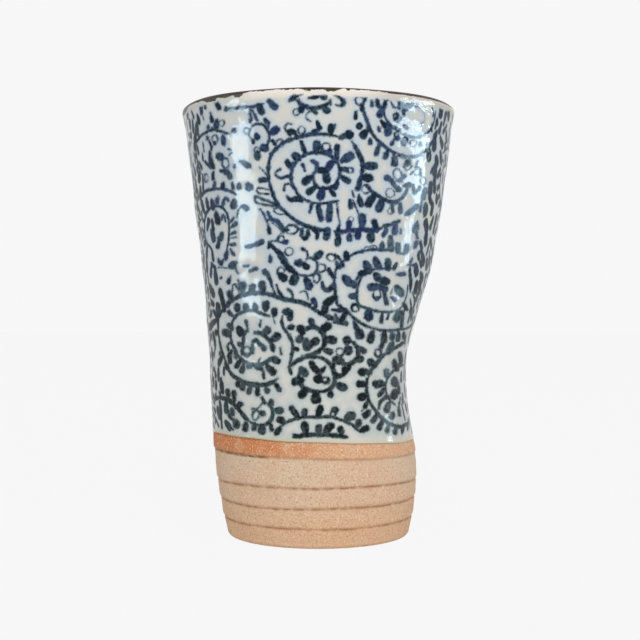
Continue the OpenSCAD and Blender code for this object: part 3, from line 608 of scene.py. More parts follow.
}

# Hollow leaves: the middle, half the width and half the height, the tilt in degrees, and the line's width
ringPixels = [
    (296.5, 112, 3.2, 3.2, 0, 1.7), (360, 100.5, 4.6, 4.4, 0, 2.6), (247, 131, 3, 3, 0, 2),
    (257, 150, 3, 3, 0, 1.6), (222, 123, 2.6, 3, 0, 1.3), (215, 139.5, 2.8, 4.5, 0, 1.8),
    (225, 163, 3.3, 5, 0, 2.3), (206, 178, 2, 4, 0, 1.6), (326, 147, 4.2, 4.2, 0, 2.4),
    (280, 143, 3.6, 3.8, 0, 2), (301.5, 130.5, 3.5, 4, 0, 1.9), (366, 189, 4.4, 4.3, 0, 1.9),
    (280, 211, 6.2, 3.2, -12, 2), (291.5, 229.5, 6.6, 4.4, 0, 2.3), (281, 239, 3.3, 3.3, 0, 1.8),
    (289, 251.5, 4, 4, 0, 1.5), (281, 271, 3.4, 3.4, 0, 2.1), (316.5, 278, 3.4, 4.5, 0, 2.7),
    (321.5, 268, 4, 3.8, 0, 2), (331, 257.5, 4.3, 3.4, -20, 2.1), (351, 219, 2.5, 2.5, 0, 1.3),
    (367, 249, 2.3, 2.3, 0, 1.5), (373, 248.5, 4, 3, 0, 1.3), (395, 102.5, 3.6, 5.4, 20, 2),
    (413, 143, 3.2, 3.4, 0, 1.5), (397.5, 174, 4.2, 5.4, 0, 1.5), (390, 193, 4.4, 4.4, 0, 1.3),
    (391, 211, 3, 3, 0, 1.5), (417, 172, 3, 3.2, 0, 1.3), (423, 181, 2.8, 4, 0, 1.3),
    (377, 294.5, 3.8, 5, 0, 2.4), (355, 308, 3.4, 3.6, 0, 2.9), (246.7, 351, 4.2, 4.2, 0, 2.4),
    (340, 352, 3.9, 3.9, 0, 1.9), (378, 353, 3.2, 3.8, 0, 3), (255.5, 415, 3.2, 4.8, -10, 2.4),
]

# Spots that the brush left white inside a leaf: the middle and the width
pinholePixels = [(350.5, 170.5, 2.4), (312.5, 305, 2.2), (366, 376, 2.6), (325, 379.5, 1.8), (333, 414, 2.2),
                 (396.5, 154.5, 2.2), (292.5, 136, 2.2)]

# Scrolls on the sides and the back, which the photograph doesn't show: degrees from the hollow,
# anticlockwise seen from above, then the eye's height, outer radius and turns
scrolls = [
    (-38, 104, 9.5, 1.6), (-33, 84, 8.5, 1.5), (-28, 61, 7.5, 1.4), (-18, 44, 7, 1.3),
    (-12, 108, 13, 2.1), (-8, 80, 11, 1.9), (2, 55, 10, 1.8), (18, 97, 8, 1.5), (20, 76, 7, 1.4),
    (8, 38.5, 6, 1.2), (24, 45, 8, 1.5), (28, 116, 9, 1.6),
    (46, 92, 13, 2.2), (50, 62, 12, 2.1), (52, 118, 8, 1.4), (46, 39, 6.5, 1.3),
    (74, 108, 13, 2.2), (72, 78, 9, 1.6), (80, 52, 12.5, 2.2), (68, 41, 5, 1.1),
    (98, 86, 12.5, 2.2), (99, 114, 9, 1.6), (104, 64, 8, 1.5), (104, 42, 8.5, 1.6),
    (124, 104, 13.5, 2.3), (124, 78, 8.5, 1.5), (130, 54, 12, 2.1), (128, 36.5, 5, 1.1),
    (149, 86, 12, 2.1), (148, 115, 9, 1.6), (156, 62, 9, 1.6), (156, 41, 8.5, 1.5),
    (174, 106, 13, 2.2), (174, 78, 9.5, 1.7), (180, 52, 11, 1.9), (-176, 119, 6, 1.2),
    (-158, 92, 9, 1.6), (-161, 70, 7.5, 1.4), (-160, 42, 8.5, 1.6), (-157, 114, 9, 1.6),
    (-149, 55, 6, 1.2),
]

# The field holds, for each point of the wall, how far it is from the nearest stroke: below zero
# it is under the brush. The shade field holds a number that each stroke keeps for itself.
columnStep = 2 * math.pi / drawing["columns"]
rowStep = (lipZ - bareZ) / (drawing["rows"] - 1)
wallZ = bareZ + rowStep * np.arange(drawing["rows"])
wallA = columnStep * np.arange(drawing["columns"])
farOff = 9.0
inkField = np.full((drawing["rows"], drawing["columns"]), farOff)
shadeField = np.full((drawing["rows"], drawing["columns"]), 0.5)

# Where the photograph shows each point of the wall, and how squarely: 1 in the middle, 0 on the outline
gridA, gridZ = wallA[None, :], wallZ[:, None]
gridR = sideRadius(gridZ) - hollow(gridA, gridZ)
gridX, gridY = gridR * np.cos(gridA), gridR * np.sin(gridA)
ahead = gridY + view["distance"]
seenX = view["frame"] / 2 + view["focalPixels"] * (gridX - view["aside"]) / ahead
gridUp = gridZ + shiftUp(gridA, gridZ) - view["eyeHeight"]
seenY = view["frame"] / 2 - view["focalPixels"] * gridUp / ahead
squarely = (view["aside"] - gridX) * np.cos(gridA) - ahead * np.sin(gridA)
facing = squarely / np.hypot(view["aside"] - gridX, ahead) > drawing["outOfSight"]
pixelsPerMm = view["focalPixels"] / (view["distance"] - view["nearRadius"])
offFront = np.abs((np.degrees(wallA) + 270) % 360 - 180)
traced = offFront < drawing["tracedDegrees"]

# How far past a stroke the field is worked out, in millimetres, and in pixels where it is read off
halo = {"stem": 7.2, "leaf": 3.2, "heart": 5.2, "dot": 5, "loose": 4, "sideways": 5, "seenPixels": 14}


def paint(a, z, reach, distanceTo, shade):
    # distanceTo takes millimetres to the right of (a, z) and above it
    radius = radiusAt(a, z)
    wide = reach / radius / columnStep
    tall = reach / rowStep
    column, row = a / columnStep, (z - bareZ) / rowStep
    columns = np.arange(math.floor(column - wide), math.ceil(column + wide) + 1)
    rows = np.arange(max(0, math.floor(row - tall)), min(drawing["rows"], math.ceil(row + tall) + 1))
    if len(rows) == 0:
        return
    x = (columns[None, :] - column) * columnStep * radius
    y = (rows[:, None] - row) * rowStep
    distance = distanceTo(x, y)
    window = np.ix_(rows, columns % drawing["columns"])
    nearer = distance < inkField[window]
    inkField[window] = np.where(nearer, distance, inkField[window])
    shadeField[window] = np.where(nearer, shade, shadeField[window])


def paintSeen(points, distanceTo, shade):
    # As paint does, but in the photograph's pixels, on the side of the wall that it shows
    near = facing.copy()
    for seen, way in ((seenX, 0), (seenY, 1)):
        places = [p[way] for p in points]
        near &= (seen > min(places) - halo["seenPixels"]) & (seen < max(places) + halo["seenPixels"])
    distance = distanceTo(seenX[near], seenY[near]) / pixelsPerMm
    nearer = distance < inkField[near]
    inkField[near] = np.where(nearer, distance, inkField[near])
    shadeField[near] = np.where(nearer, shade, shadeField[near])


def squareness(a, z):
    radius = radiusAt(a, z)
    x, y = view["aside"] - radius * math.cos(a), view["distance"] + radius * math.sin(a)
    return (x * math.cos(a) - y * math.sin(a)) / math.hypot(x, y)


def paintSideways(points, widths, shade, most):
    # A stroke that the photograph squeezes together gets its real width back on the wall
    spots = [wallAt(*p) for p in points]
    a0, z0 = spots[0]
    radius = radiusAt(a0, z0)
    span = max(abs(a - a0) for a, z in spots) * radius
    longest = drawing["leafReach"] if len(points) < drawing["linePoints"] else drawing["lineReach"]
    shorter = min(1, longest / max(span, 0.1))
    run = [((a - a0) * radius * shorter, z - z0) for a, z in spots]
    real = []
    for i, width in enumerate(widths):
        j, k = max(0, i - 1), min(len(points) - 1, i + 1)
        dx, dy = points[k][0] - points[j][0], points[k][1] - points[j][1]
        squeezed = math.hypot(dx, squareness(*spots[i]) * dy) / math.hypot(dx, dy)
        real.append(min(most, width / pixelsPerMm / max(squeezed, drawing["outOfSight"])))
    far = max(math.hypot(*p) for p in run)
    paint(a0, z0, far + halo["sideways"], brush(run, real), shade)


def polar(size, heading):
    return size * math.cos(heading), size * math.sin(heading)


def columnAt(a):
    return round(a / columnStep) % drawing["columns"]


def fieldAt(a, z):
    row = round((z - bareZ) / rowStep)
    if row < 0 or row >= drawing["rows"]:
        return -1.0
    return float(inkField[row, columnAt(a)])


def brush(points, widths):
    # A run of round-ended marks through the points
    def distanceTo(x, y):
        best = np.full(np.broadcast(x, y).shape, 99.0)
        for (x0, y0), (x1, y1), w0, w1 in zip(points, points[1:], widths, widths[1:]):
            dx, dy = x1 - x0, y1 - y0
            t = np.clip(((x - x0) * dx + (y - y0) * dy) / (dx * dx + dy * dy + 1e-9), 0, 1)
            away = np.hypot(x - x0 - t * dx, y - y0 - t * dy) - (w0 + (w1 - w0) * t) / 2
            best = np.minimum(best, away)
        return best
    return distanceTo


def smoothed(points, step):
    # A Catmull-Rom curve through flat points, cut into even steps
    flat = np.array(points, dtype=float)
    knots = np.concatenate([[2 * flat[0] - flat[1]], flat, [2 * flat[-1] - flat[-2]]])
    fine = []
    for p0, p1, p2, p3 in zip(knots, knots[1:], knots[2:], knots[3:]):
        for t in np.linspace(0, 1, 9)[:-1]:
            bend = 2 * p0 - 5 * p1 + 4 * p2 - p3
            fine.append(0.5 * (2 * p1 + (p2 - p0) * t + bend * t ** 2 + (3 * p1 - 3 * p2 + p3 - p0) * t ** 3))
    fine = np.array(fine + [flat[-1]])
    along = np.concatenate([[0], np.cumsum(np.hypot(*np.diff(fine, axis=0).T))])
    even = np.linspace(0, along[-1], max(2, round(along[-1] / step) + 1))
    x, y = np.interp(even, along, fine[:, 0]), np.interp(even, along, fine[:, 1])
    return [(float(u), float(v)) for u, v in zip(x, y)]


def smoothRun(points, step):
    # The same for points given as angle and height
    radius = radiusAt(*points[len(points) // 2])
    return [(x / radius, z) for x, z in smoothed([(a * radius, z) for a, z in points], step)]


def paintStem(run, width):
    # Thin at both ends and a little uneven between them. A thin stem holds less cobalt.
    widths, drift = [], 0.0
    for i in range(len(run)):
        nearEnd = min(i, len(run) - 1 - i) * drawing["stemStep"]
        drift = 0.85 * drift + random.gauss(0, drawing["stemDrift"])
        widths.append(width * (1 + drift) * min(1, 0.55 + 0.45 * nearEnd / drawing["stemTaper"]))
    shade = min(1, max(0.3, 1.55 - 0.65 * width)) * random.uniform(0.75, 1.1)
    for i in range(len(run) - 1):
        (a0, z0), (a1, z1) = run[i], run[i + 1]
        dx = (a1 - a0) * radiusAt(a0, z0)
        paint(a0, z0, halo["stem"], brush([(0, 0), (dx, z1 - z0)], widths[i:i + 2]), shade)


def roomFor(a, z, way, halfWidth, most, half):
    # How far a leaf can grow from a stem's middle before it comes too near another stroke
    radius = radiusAt(a, z)
    reach = half + 0.4
    while reach < most:
        s = reach + 0.2 - halfWidth
        clear = fieldAt(a + s * way[0] / radius, z + s * way[1])
        if clear < min(s - half - 0.35, halfWidth + drawing["clearance"]):
            return reach
        reach += 0.2
    return most


# Leaves of the laid-out part are drawn by lot: solid up to the first share, hollow up to the next, and
# hooked up to the last. The rest are pairs. One that is shorter than alwaysSolid is solid.
leafKinds = {"solid": 0.72, "hollow": 0.84, "hooked": 0.93, "alwaysSolid": 2.2}


def leafMarks(way, reach, width):
    # The strokes of one leaf, from the middle of its stem outwards: (points, widths) each
    u, v = way
    right = (v, -u)

    def out(s, t=0.0):
        return (u * s + right[0] * t, v * s + right[1] * t)

    kind = random.random()
    inner = 0.3
    tip = reach - width / 2
    if kind < leafKinds["solid"] or reach < leafKinds["alwaysSolid"]:   # fuller at its end
        sway = random.gauss(0, 0.14)
        return [([out(inner), out((inner + tip) / 2, sway), out(tip, 2 * sway)],
                 [0.62 * width, 0.84 * width, width])]
    if kind < leafKinds["hollow"]:                      # drawn round a white middle
        size = min(1.3, (reach - 0.45) / 2)
        middle = 0.45 + size
        angles = np.linspace(0.1, 2 * math.pi - 0.1, 15)
        turn = [out(middle - size * math.cos(t), 0.85 * size * math.sin(t)) for t in angles]
        thick = drawing["ringWidth"] * random.uniform(0.8, 1.2)
        return [(turn, [thick * (1 + 0.7 * math.sin(t / 2) ** 4) for t in angles])]
    if kind < leafKinds["hooked"]:                      # curls over into a dot
        side = random.choice([-1, 1])
        size = min(1.15, reach / 2 - 0.3)
        angles = np.linspace(0.5, 3.9, 9)
        turn = [out(0.4 + size * 1.3 - size * math.cos(t), side * size * (math.sin(t) - 0.3))
                for t in angles]
        return [([out(0.3)] + turn, [0.9, 0.75] + [0.62] * 5 + [0.8, 1.1, 1.3])]
    pair = []                                           # two thin leaves from one root
    for side in (-0.36, 0.36):
        pair.append(([out(inner), out(*polar(tip, side))], [0.7, 0.62 * width]))
    return pair


def growLeaves(run, stemWidth):
    step = drawing["leafSpacing"]
    along = random.uniform(0.4, 0.8) * step
    while along < (len(run) - 1) * drawing["stemStep"] - 0.3:
        i = int(along / drawing["stemStep"])
        a, z = run[i]
        j, k = max(0, i - 1), min(len(run) - 1, i + 1)
        dx = (run[k][0] - run[j][0]) * radiusAt(a, z)
        dz = run[k][1] - run[j][1]
        lean = math.radians(random.gauss(drawing["leafLean"], drawing["leanVaries"]))
        way = polar(1, math.atan2(dz, dx) - math.pi / 2 + lean)
        width = drawing["leafWidth"] * random.uniform(0.84, 1.14)
        want = stemWidth / 2 + drawing["leafLength"] * random.uniform(0.82, 1.22)
        reach = roomFor(a, z, way, width / 2, want, stemWidth / 2)
        if reach > 1.45 and not traced[columnAt(a)]:
            shade = random.random()
            for points, widths in leafMarks(way, reach, min(width, 0.75 * reach)):
                paint(a, z, reach + halo["leaf"], brush(points, widths), shade)
        along += step * random.uniform(0.86, 1.14)


spiral = {
    "eye": 2.4, "eyeShare": 0.4,        # the eye's radius, and the most of the whole that it may be
    "stepsPerTurn": 40, "fewestSteps": 6,
    "squash": 0.96,                     # how high a scroll is for its width
    "margin": 3, "clearance": 1.9,      # from the lip and the coat's edge, and from other strokes
}


def scrollRun(angle, height, outer, turns):
    # A spiral from its eye outwards, stopped where another stem is already in the way
    start = random.uniform(0, 2 * math.pi)
    eye = min(spiral["eye"], spiral["eyeShare"] * outer)
    run = []
    steps = max(12, int(turns * spiral["stepsPerTurn"]))
    for i in range(steps + 1):
        turned = 2 * math.pi * turns * i / steps
        size = eye + (outer - eye) * i / steps
        z = height + spiral["squash"] * size * math.sin(start + turned)
        a = angle + size * math.cos(start + turned) / radiusAt(angle, height)
        onWall = bareZ + spiral["margin"] < z < lipZ - spiral["margin"]
        if not onWall or fieldAt(a, z) < spiral["clearance"]:
            if len(run) > spiral["fewestSteps"]:
                break
            run = []
            continue
        run.append((a, z))
    return smoothRun(run, drawing["stemStep"]) if len(run) > spiral["fewestSteps"] else []


# The heart of a scroll is fat strokes that meet in its eye. Scrolls up to leastScroll have none.
heart = {"strokes": 3, "start": 0.2, "end": 1.2, "widths": [1.1, 1.6], "leastScroll": 4}


def addScroll(angle, height, outer, turns):
    run = scrollRun(angle, height, outer, turns)
    if not run:
        return False
    width = drawing["stemWidth"] * random.uniform(0.85, 1.25)
    stems.append((run, width))
    paintStem(run, width)
    if outer > heart["leastScroll"]:
        for i in range(heart["strokes"]):
            heading = random.uniform(0, 0.5) + 2.1 * i
            marks = [polar(heart["start"], heading), polar(heart["end"], heading)]
            paint(angle, height, halo["heart"], brush(marks, heart["widths"]), random.random())
    return True


def widestWhite(allowed, most):
    # The middle of the widest white, and how wide it is to each side
    row, column = np.unravel_index(np.argmax(np.minimum(inkField, most) * allowed), inkField.shape)
    return column * columnStep, bareZ + row * rowStep, float(inkField[row, column] * allowed[row, column])


print("drawing the scrolls")
stems = []
for name, pixels in stemPixels.items():
    run = smoothRun([wallAt(*p) for p in pixels], drawing["stemStep"])
    stems.append((run, drawing["fullness"] * stemWidths.get(name, drawing["plainStem"]) / pixelsPerMm))
    paintStem(*stems[-1])
narrow = []
for strokes in leafPixels.values():
    for first, last, *points in strokes:
        fine = smoothed(points, 1.5)
        along = np.linspace(0, 1, len(fine))
        club = np.minimum(1, 0.78 + 0.5 * along) if len(points) == 2 else 1.0
        widths = drawing["fullness"] * club * (first + (last - first) * np.minimum(1, 1.6 * along))
        shade = random.random()
        middle = wallAt(*fine[len(fine) // 2])
        if squareness(*middle) > drawing["squeezed"]:
            paintSeen(fine, brush(fine, widths), shade)
        elif squareness(*middle) > drawing["tooNarrow"]:
            paintSideways(fine, widths, shade, drawing["sideLeaf"])
        else:
            narrow.append((fine, widths, shade, middle))
for x, y, wide, tall, tilt, line in ringPixels:
    lean = math.radians(tilt)
    angles = np.linspace(0, 2 * math.pi, 17)
    loop = [(x + wide * math.cos(t) * math.cos(lean) + tall * math.sin(t) * math.sin(lean),
             y - wide * math.cos(t) * math.sin(lean) + tall * math.sin(t) * math.cos(lean)) for t in angles]
    paintSeen(loop, brush(loop, [line * (1 + 0.25 * math.sin(t + x)) for t in angles]), random.random())
for degrees, height, outer, turns in scrolls:
    addScroll(math.radians(degrees), height, outer, turns)
for points, widths, shade, middle in narrow:
    room = fieldAt(*middle)
    if room > 0.55:
        paintSideways(points, widths, shade, min(0.8 * drawing["sideLeaf"], 2 * (room - 0.25)))

# Small scrolls fill the wide white between the others, out of the photograph's sight
unseen = np.where(traced, 0.0, 1.0)[None, :]
roomy = ((wallZ > bareZ + 5) & (wallZ < lipZ - 5))[:, None] * unseen
for i in range(drawing["mostScrolls"]):
    a, z, gap = widestWhite(roomy, 7)
    if gap < drawing["scrollGap"]:
        break
    if not addScroll(a, z, min(gap - 2.1, 6.5), random.uniform(0.8, 1.3)):
        paint(a, z, halo["dot"], brush([(-0.6, 0), (0.7, 0.4)], [1.6, 2.0]), random.random())
for run, width in stems:
    growLeaves(run, width)

# Loose leaves fill whatever white is left there. Each lies along the white that it fills.
loose = {"halfWidth": 1.15, "arm": 1.5, "reach": 3.2, "directions": 8}


def armLength(a, z, way, clear):
    # How far a loose leaf can reach from its middle
    arm = 0.3
    dx, dz = polar(1, way)
    while arm < loose["arm"] and fieldAt(a + arm * dx / radiusAt(a, z), z + arm * dz) > clear:
        arm += 0.2
    return arm - 0.2


inside = ((wallZ > bareZ + drawing["lowMargin"] + 0.8) & (wallZ < lipZ - drawing["topMargin"] - 0.6))
inside = inside[:, None] * unseen
filled = 0
while filled < drawing["mostLoose"]:
    a, z, gap = widestWhite(inside, loose["reach"])
    if gap < drawing["gapFill"]:
        break
    half = min(loose["halfWidth"], min(gap, loose["reach"]) - drawing["clearance"] - 0.2)
    clear = 0.8 * half + drawing["clearance"]
    choices = []
    for heading in np.linspace(0, math.pi, loose["directions"] + 1)[:-1] + random.uniform(0, 0.3):
        arms = [armLength(a, z, way, clear) for way in (heading, heading + math.pi)]
        choices.append((sum(arms) + random.uniform(0, 0.3), heading, arms))
    heading, (onward, behind) = max(choices)[1:]
    swap = random.random() < 0.5
    marks = [polar(-behind, heading), polar(onward, heading)]
    widths = [2 * half, 1.3 * half] if swap else [1.3 * half, 2 * half]
    paint(a, z, onward + behind + halo["loose"], brush(marks, widths), random.random())
    filled += 1
print("strokes fill the wall,", filled, "of them loose")
for x, y, wide in pinholePixels:
    near = facing & (np.hypot(seenX - x, seenY - y) < 5)
    hole = (wide / 2 - np.hypot(seenX[near] - x, seenY[near] - y)) / pixelsPerMm
    inkField[near] = np.maximum(inkField[near], hole)

# The drawing stops short of the lip and of the coat's lower edge
topEdge = wallZ[:, None] - (lipZ - drawing["topMargin"] + 0.5 * np.sin(3 * wallA + 1)[None, :])
lowEdge = bareZ + drawing["lowMargin"] + 0.3 * np.sin(2 * wallA + 2)[None, :] - wallZ[:, None]
inkField = np.maximum(np.maximum(inkField, topEdge), lowEdge)
inkField = np.clip(inkField, -drawing["deepest"], drawing["deepest"])


# Pieces are sections thrown round the axis, as rows of points that run anticlockwise in section.
# For its texture each is unrolled into two strips, the second half of the turn over the first.
unroll = {
    "margin": 0.004, "wide": 0.992,     # of the texture's own width
    "strip": 0.5, "tall": 0.492,        # how far apart the strips are, and how tall each one is
    "hidden": 0.12,                     # a stretch that nobody sees gets this share of its length
}


def thrownPiece(name, points, stretch, marks, poles=None):
    rows, columns = points.shape[:2]
    half = columns // 2
    joints = rows - 1 if poles else rows
    i, j = np.meshgrid(np.arange(joints), np.arange(columns), indexing="ij")
    above, beside = (i + 1) % rows, (j + 1) % columns
    quads = np.stack([i * columns + j, i * columns + beside,
                      above * columns + beside, above * columns + j], -1)
    faces = quads.reshape(-1, 4).tolist()

    def unrolled(j, across, up):
        # across counts steps to the right of column j, and up runs from 0 to 1
        sideways = [(j % half) / half + step / half for step in across]
        u = unroll["margin"] + unroll["wide"] * np.stack(sideways, -1)
        v = unroll["margin"] + (j // half)[..., None] * unroll["strip"] + unroll["tall"] * np.stack(up, -1)
        return np.stack([u, v], -1).reshape(-1, 2)

    low, high = stretch[:-1][i], stretch[1:][i]
    spots = unrolled(j, (0, 1, 1, 0), (low, low, high, high))
    vertices = points.reshape(-1, 3)
    if poles:
        j = np.arange(columns)
        vertices = np.concatenate([vertices, np.array(poles) * mm])
        first, last = rows * columns, (rows - 1) * columns
        faces += np.stack([np.full(columns, first), (j + 1) % columns, j], -1).tolist()
        faces += np.stack([np.full(columns, first + 1), last + j, last + (j + 1) % columns], -1).tolist()
        # the fans round the two poles lie just past the ends of the strips
        lowFan = unrolled(j, (0.5, 1, 0), (-0.004, 0, 0))
        highFan = unrolled(j, (0.5, 0, 1), (1.006, 1, 1))
        spots = np.concatenate([spots, lowFan, highFan])
    mesh = bpy.data.meshes.new(name)
    mesh.from_pydata(vertices.tolist(), [], faces)
    mesh.uv_layers.new(name="OFBake").data.foreach_set("uv", spots.astype(np.float32).ravel())
    for mark, values in marks.items():
        full = np.broadcast_to(values, (rows, columns)).ravel()
        full = np.concatenate([full, [full[0], full[-1]]]) if poles else full
        mesh.attributes.new(mark, "FLOAT", "POINT").data.foreach_set("value", full.astype(np.float32))
    mesh.shade_smooth()
    piece = bpy.data.objects.new(name, mesh)
    scene.collection.objects.link(piece)
    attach(piece, "root")
    return piece


def stretchOf(r, z, closed, hidden=None):
    # How far along the section each point is, from 0 to 1, with hidden stretches made short
    points = np.stack([r, z], -1)
    steps = np.hypot(*np.diff(points, axis=0, append=points[:1]).T)
    if hidden is not None:
        steps = np.where(hidden, unroll["hidden"] * steps, steps)
    steps = np.maximum(steps, 1e-4)
    if not closed:
        steps = steps[:-1]
    return np.concatenate([[0], np.cumsum(steps)]) / steps.sum()


def arcPoints(r, z, size, start, end, count):
    t = np.radians(np.linspace(start, end, count))
    return r + size * np.cos(t), z + size * np.sin(t)


def lipCurve(depth, start, end, count):
    return arcPoints(lipMid, lipZ, cup["lip"] / 2 - depth, start, end, count)


def joined(*runs):
    return np.concatenate([run[0] for run in runs]), np.concatenate([run[1] for run in runs])


def anglesRound(columns):
    return np.arange(columns) * 2 * math.pi / columns


def insideRun(depth, rows):
    # The inside from under the lip down to near the axis, at a depth under its finished face.
    # The corner gets a fifth and the floor a sixth as many rows as the wall.
    cornerZ = cup["floor"] + cup["floorCorner"]
    z = np.linspace(lipZ, cornerZ, rows)[1:-1]
    cavity = sideRadius(z) - wallThickness(z)
    cornerMid = float(sideRadius(cornerZ)) - cup["wall"] - cup["floorCorner"]
    corner = arcPoints(cornerMid, cornerZ, cup["floorCorner"] + depth, 0, -90, max(8, rows // 5))
    flatR = np.linspace(cornerMid, 0, max(6, rows // 6))[1:-1]
    return joined((cavity + depth, z), corner, (flatR, np.full(len(flatR), cup["floor"] - depth)))


def backwards(run):
    return run[0][::-1], run[1][::-1]


rimStart, rimEnd = 90 - cup["rimOut"], 90 + cup["rimIn"]
curveRows = {"seen": 5, "hidden": 3}    # of a coat where it meets the iron wash
coat = {
    "bead": 0.10,                       # the roll that the glaze makes at its lower edge
    "beadHeight": 0.5, "beadSpread": 0.45,
    "edgeWave": 0.20, "waveReach": 4,   # how far that edge wanders, and how far up the wall follows it
    "hiddenRows": 10,                   # of its back, against the clay
}


def edgeWave(a, z):
    wave = np.sin(2 * a + 0.4) + 0.6 * np.sin(5 * a + 2.0) + 0.3 * np.sin(11 * a)
    return coat["edgeWave"] * wave * np.clip(1 - (z - bareZ) / coat["waveReach"], 0, 1)


def makeOuterGlaze():
    beadR = coat["bead"] * np.exp(-((wallZ - bareZ - coat["beadHeight"]) / coat["beadSpread"]) ** 2)
    curve = lipCurve(0, 0, rimStart, curveRows["seen"])
    under = lipCurve(cup["glaze"], rimStart, 0, curveRows["hidden"])
    hiddenZ = np.linspace(lipZ, bareZ, coat["hiddenRows"])[1:]
    behind = (sideRadius(hiddenZ) - coatThickness(hiddenZ), hiddenZ)
    r, z = joined((sideRadius(wallZ) + beadR, wallZ), (curve[0][1:], curve[1][1:]), under, behind)
    points = placed(r, z, wallA)
    points[..., 2] += edgeWave(wallA[None, :], z[:, None]) * mm * (z < lipZ)[:, None]
    seen = len(wallZ)
    spare = len(r) - seen
    ink = np.concatenate([inkField, np.full((spare, len(wallA)), drawing["deepest"])])
    shade = np.concatenate([shadeField, np.full((spare, len(wallA)), 0.5)])
    hidden = np.arange(len(r)) >= seen + curveRows["seen"] - 1
    piece = thrownPiece("outerGlaze", points, stretchOf(r, z, True, hidden),
                        {"ink": ink, "shade": shade, "level": z[:, None]})
    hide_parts("outer_glaze")
    return piece


lining = {"columns": 352, "rows": 150, "hiddenRows": 40}


def makeInnerGlaze():
    behind = backwards(insideRun(cup["glaze"], lining["hiddenRows"]))
    under = lipCurve(cup["glaze"], 180, rimEnd, curveRows["hidden"])
    over = lipCurve(0, rimEnd, 180, curveRows["seen"])
    r, z = joined(behind, under, over, insideRun(0, lining["rows"]))
    hidden = np.arange(len(r)) < len(behind[0])
    points = placed(r, z, anglesRound(lining["columns"]))
    piece = thrownPiece("innerGlaze", points, stretchOf(r, z, False, hidden), {"level": z[:, None]},
                        [(0, 0, cup["floor"] - cup["glaze"]), (0, 0, cup["floor"])])
    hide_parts("inner_glaze")
    return piece


rim = {
    "rows": 26, "hiddenRows": 5,
    "uneven": 0.05, "unevenFrom": 1,    # how unevenly the wash lies, from so far up the lip's curve
}


def makeIronRim():
    top = lipCurve(0, rimStart, rimEnd, rim["rows"])
    r, z = joined(top, lipCurve(cup["glaze"], rimEnd, rimStart, rim["hiddenRows"]))
    hidden = np.arange(len(r)) >= len(top[0])
    points = placed(r, z, wallA)
    wave = (np.sin(3 * wallA + 1) + np.sin(7 * wallA))[None, :]
    points[..., 2] += rim["uneven"] * mm * wave * (z > lipZ + rim["unevenFrom"])[:, None]
    piece = thrownPiece("ironRim", points, stretchOf(r, z, True, hidden), {"level": z[:, None]})
    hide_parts("iron_rim")
    return piece


turning = {
    "columns": 480, "rowHeight": 0.22,
    "hiddenRows": 14, "insideRows": 30,  # under the coat and round the lip, and under the lining
    "toolMarks": 0.06,                  # depth of the rings under the foot
    # the side of the recess, in shares of its lean and of its depth:
    "recessIn": (1.2, 1.02, 0.9, 0.6, 0.3, 0.1, -0.15, -0.6),
    "recessUp": (0.97, 0.88, 0.75, 0.5, 0.25, 0.1, 0.03, 0.0),
    "lineShares": (-0.6, -0.1, 0.25, 1),  # where a line's four corners lie, in shares of its height
    "lineWander": 0.20,                 # how far the turned lines wander up and down
    "swell": 0.05, "ripple": 0.03,      # how much deeper the tool bit here and there
    "grooveShadeSpread": 0.42,                 # how far up and down the painted shade and dirt in a line reach
    "flashLineShare": 0.35,             # the line under the flashed band is fainter than the others
    "flashShadeShare": 0.5,              # and holds less painted shade and dirt
}
lineHeights = [cup["band"] * (i + 1) for i in range(cup["bands"])] + [bareZ - cup["flash"]]


def footRun():
    # Under the foot: the turned recess with its tool marks, then the ring that the cup stands on
    standR = cup["foot"] / 2 - cup["footCorner"]
    recessR = standR - cup["footRing"]
    floorR = np.linspace(0, recessR - cup["recessLean"] - 0.5, 60)[1:]
    floorZ = cup["recess"] + turning["toolMarks"] * np.sin(floorR * 2.2) * np.minimum(1, floorR / 4)
    wallR = recessR - cup["recessLean"] * np.array(turning["recessIn"])
    wallZs = cup["recess"] * np.array(turning["recessUp"])
    ringR = np.linspace(recessR + 0.9, standR, 8)[1:-1]
    corner = arcPoints(standR, cup["footCorner"], cup["footCorner"], -90, 0, 12)
    return joined((floorR, floorZ), (wallR, wallZs), (ringR, np.zeros(len(ringR))), corner)


def bareRun(cornerR):
    # The bare side, from the corner up to the coat
    knots = [(cornerR, cup["footCorner"])]
    half = cup["ridge"] / 2
    for height in lineHeights:
        side = float(sideRadius(height))
        deep = cup["lineDepth"] * (turning["flashLineShare"] if height == lineHeights[-1] else 1)
        corners = (side - half, side - half - deep, side + half - deep, side + half)
        knots += [(r, height + share * cup["lineHeight"]) for r, share in zip(corners, turning["lineShares"])]
    knots.append((float(sideRadius(bareZ) - coatThickness(bareZ)), bareZ))
    z = np.arange(cup["footCorner"] + turning["rowHeight"], bareZ, turning["rowHeight"])
    r = np.interp(z, [k[1] for k in knots], [k[0] for k in knots])
    r[1:-1] = np.convolve(r, [0.25, 0.5, 0.25], "valid")  # takes the sharpness off the ridges
    return r, z


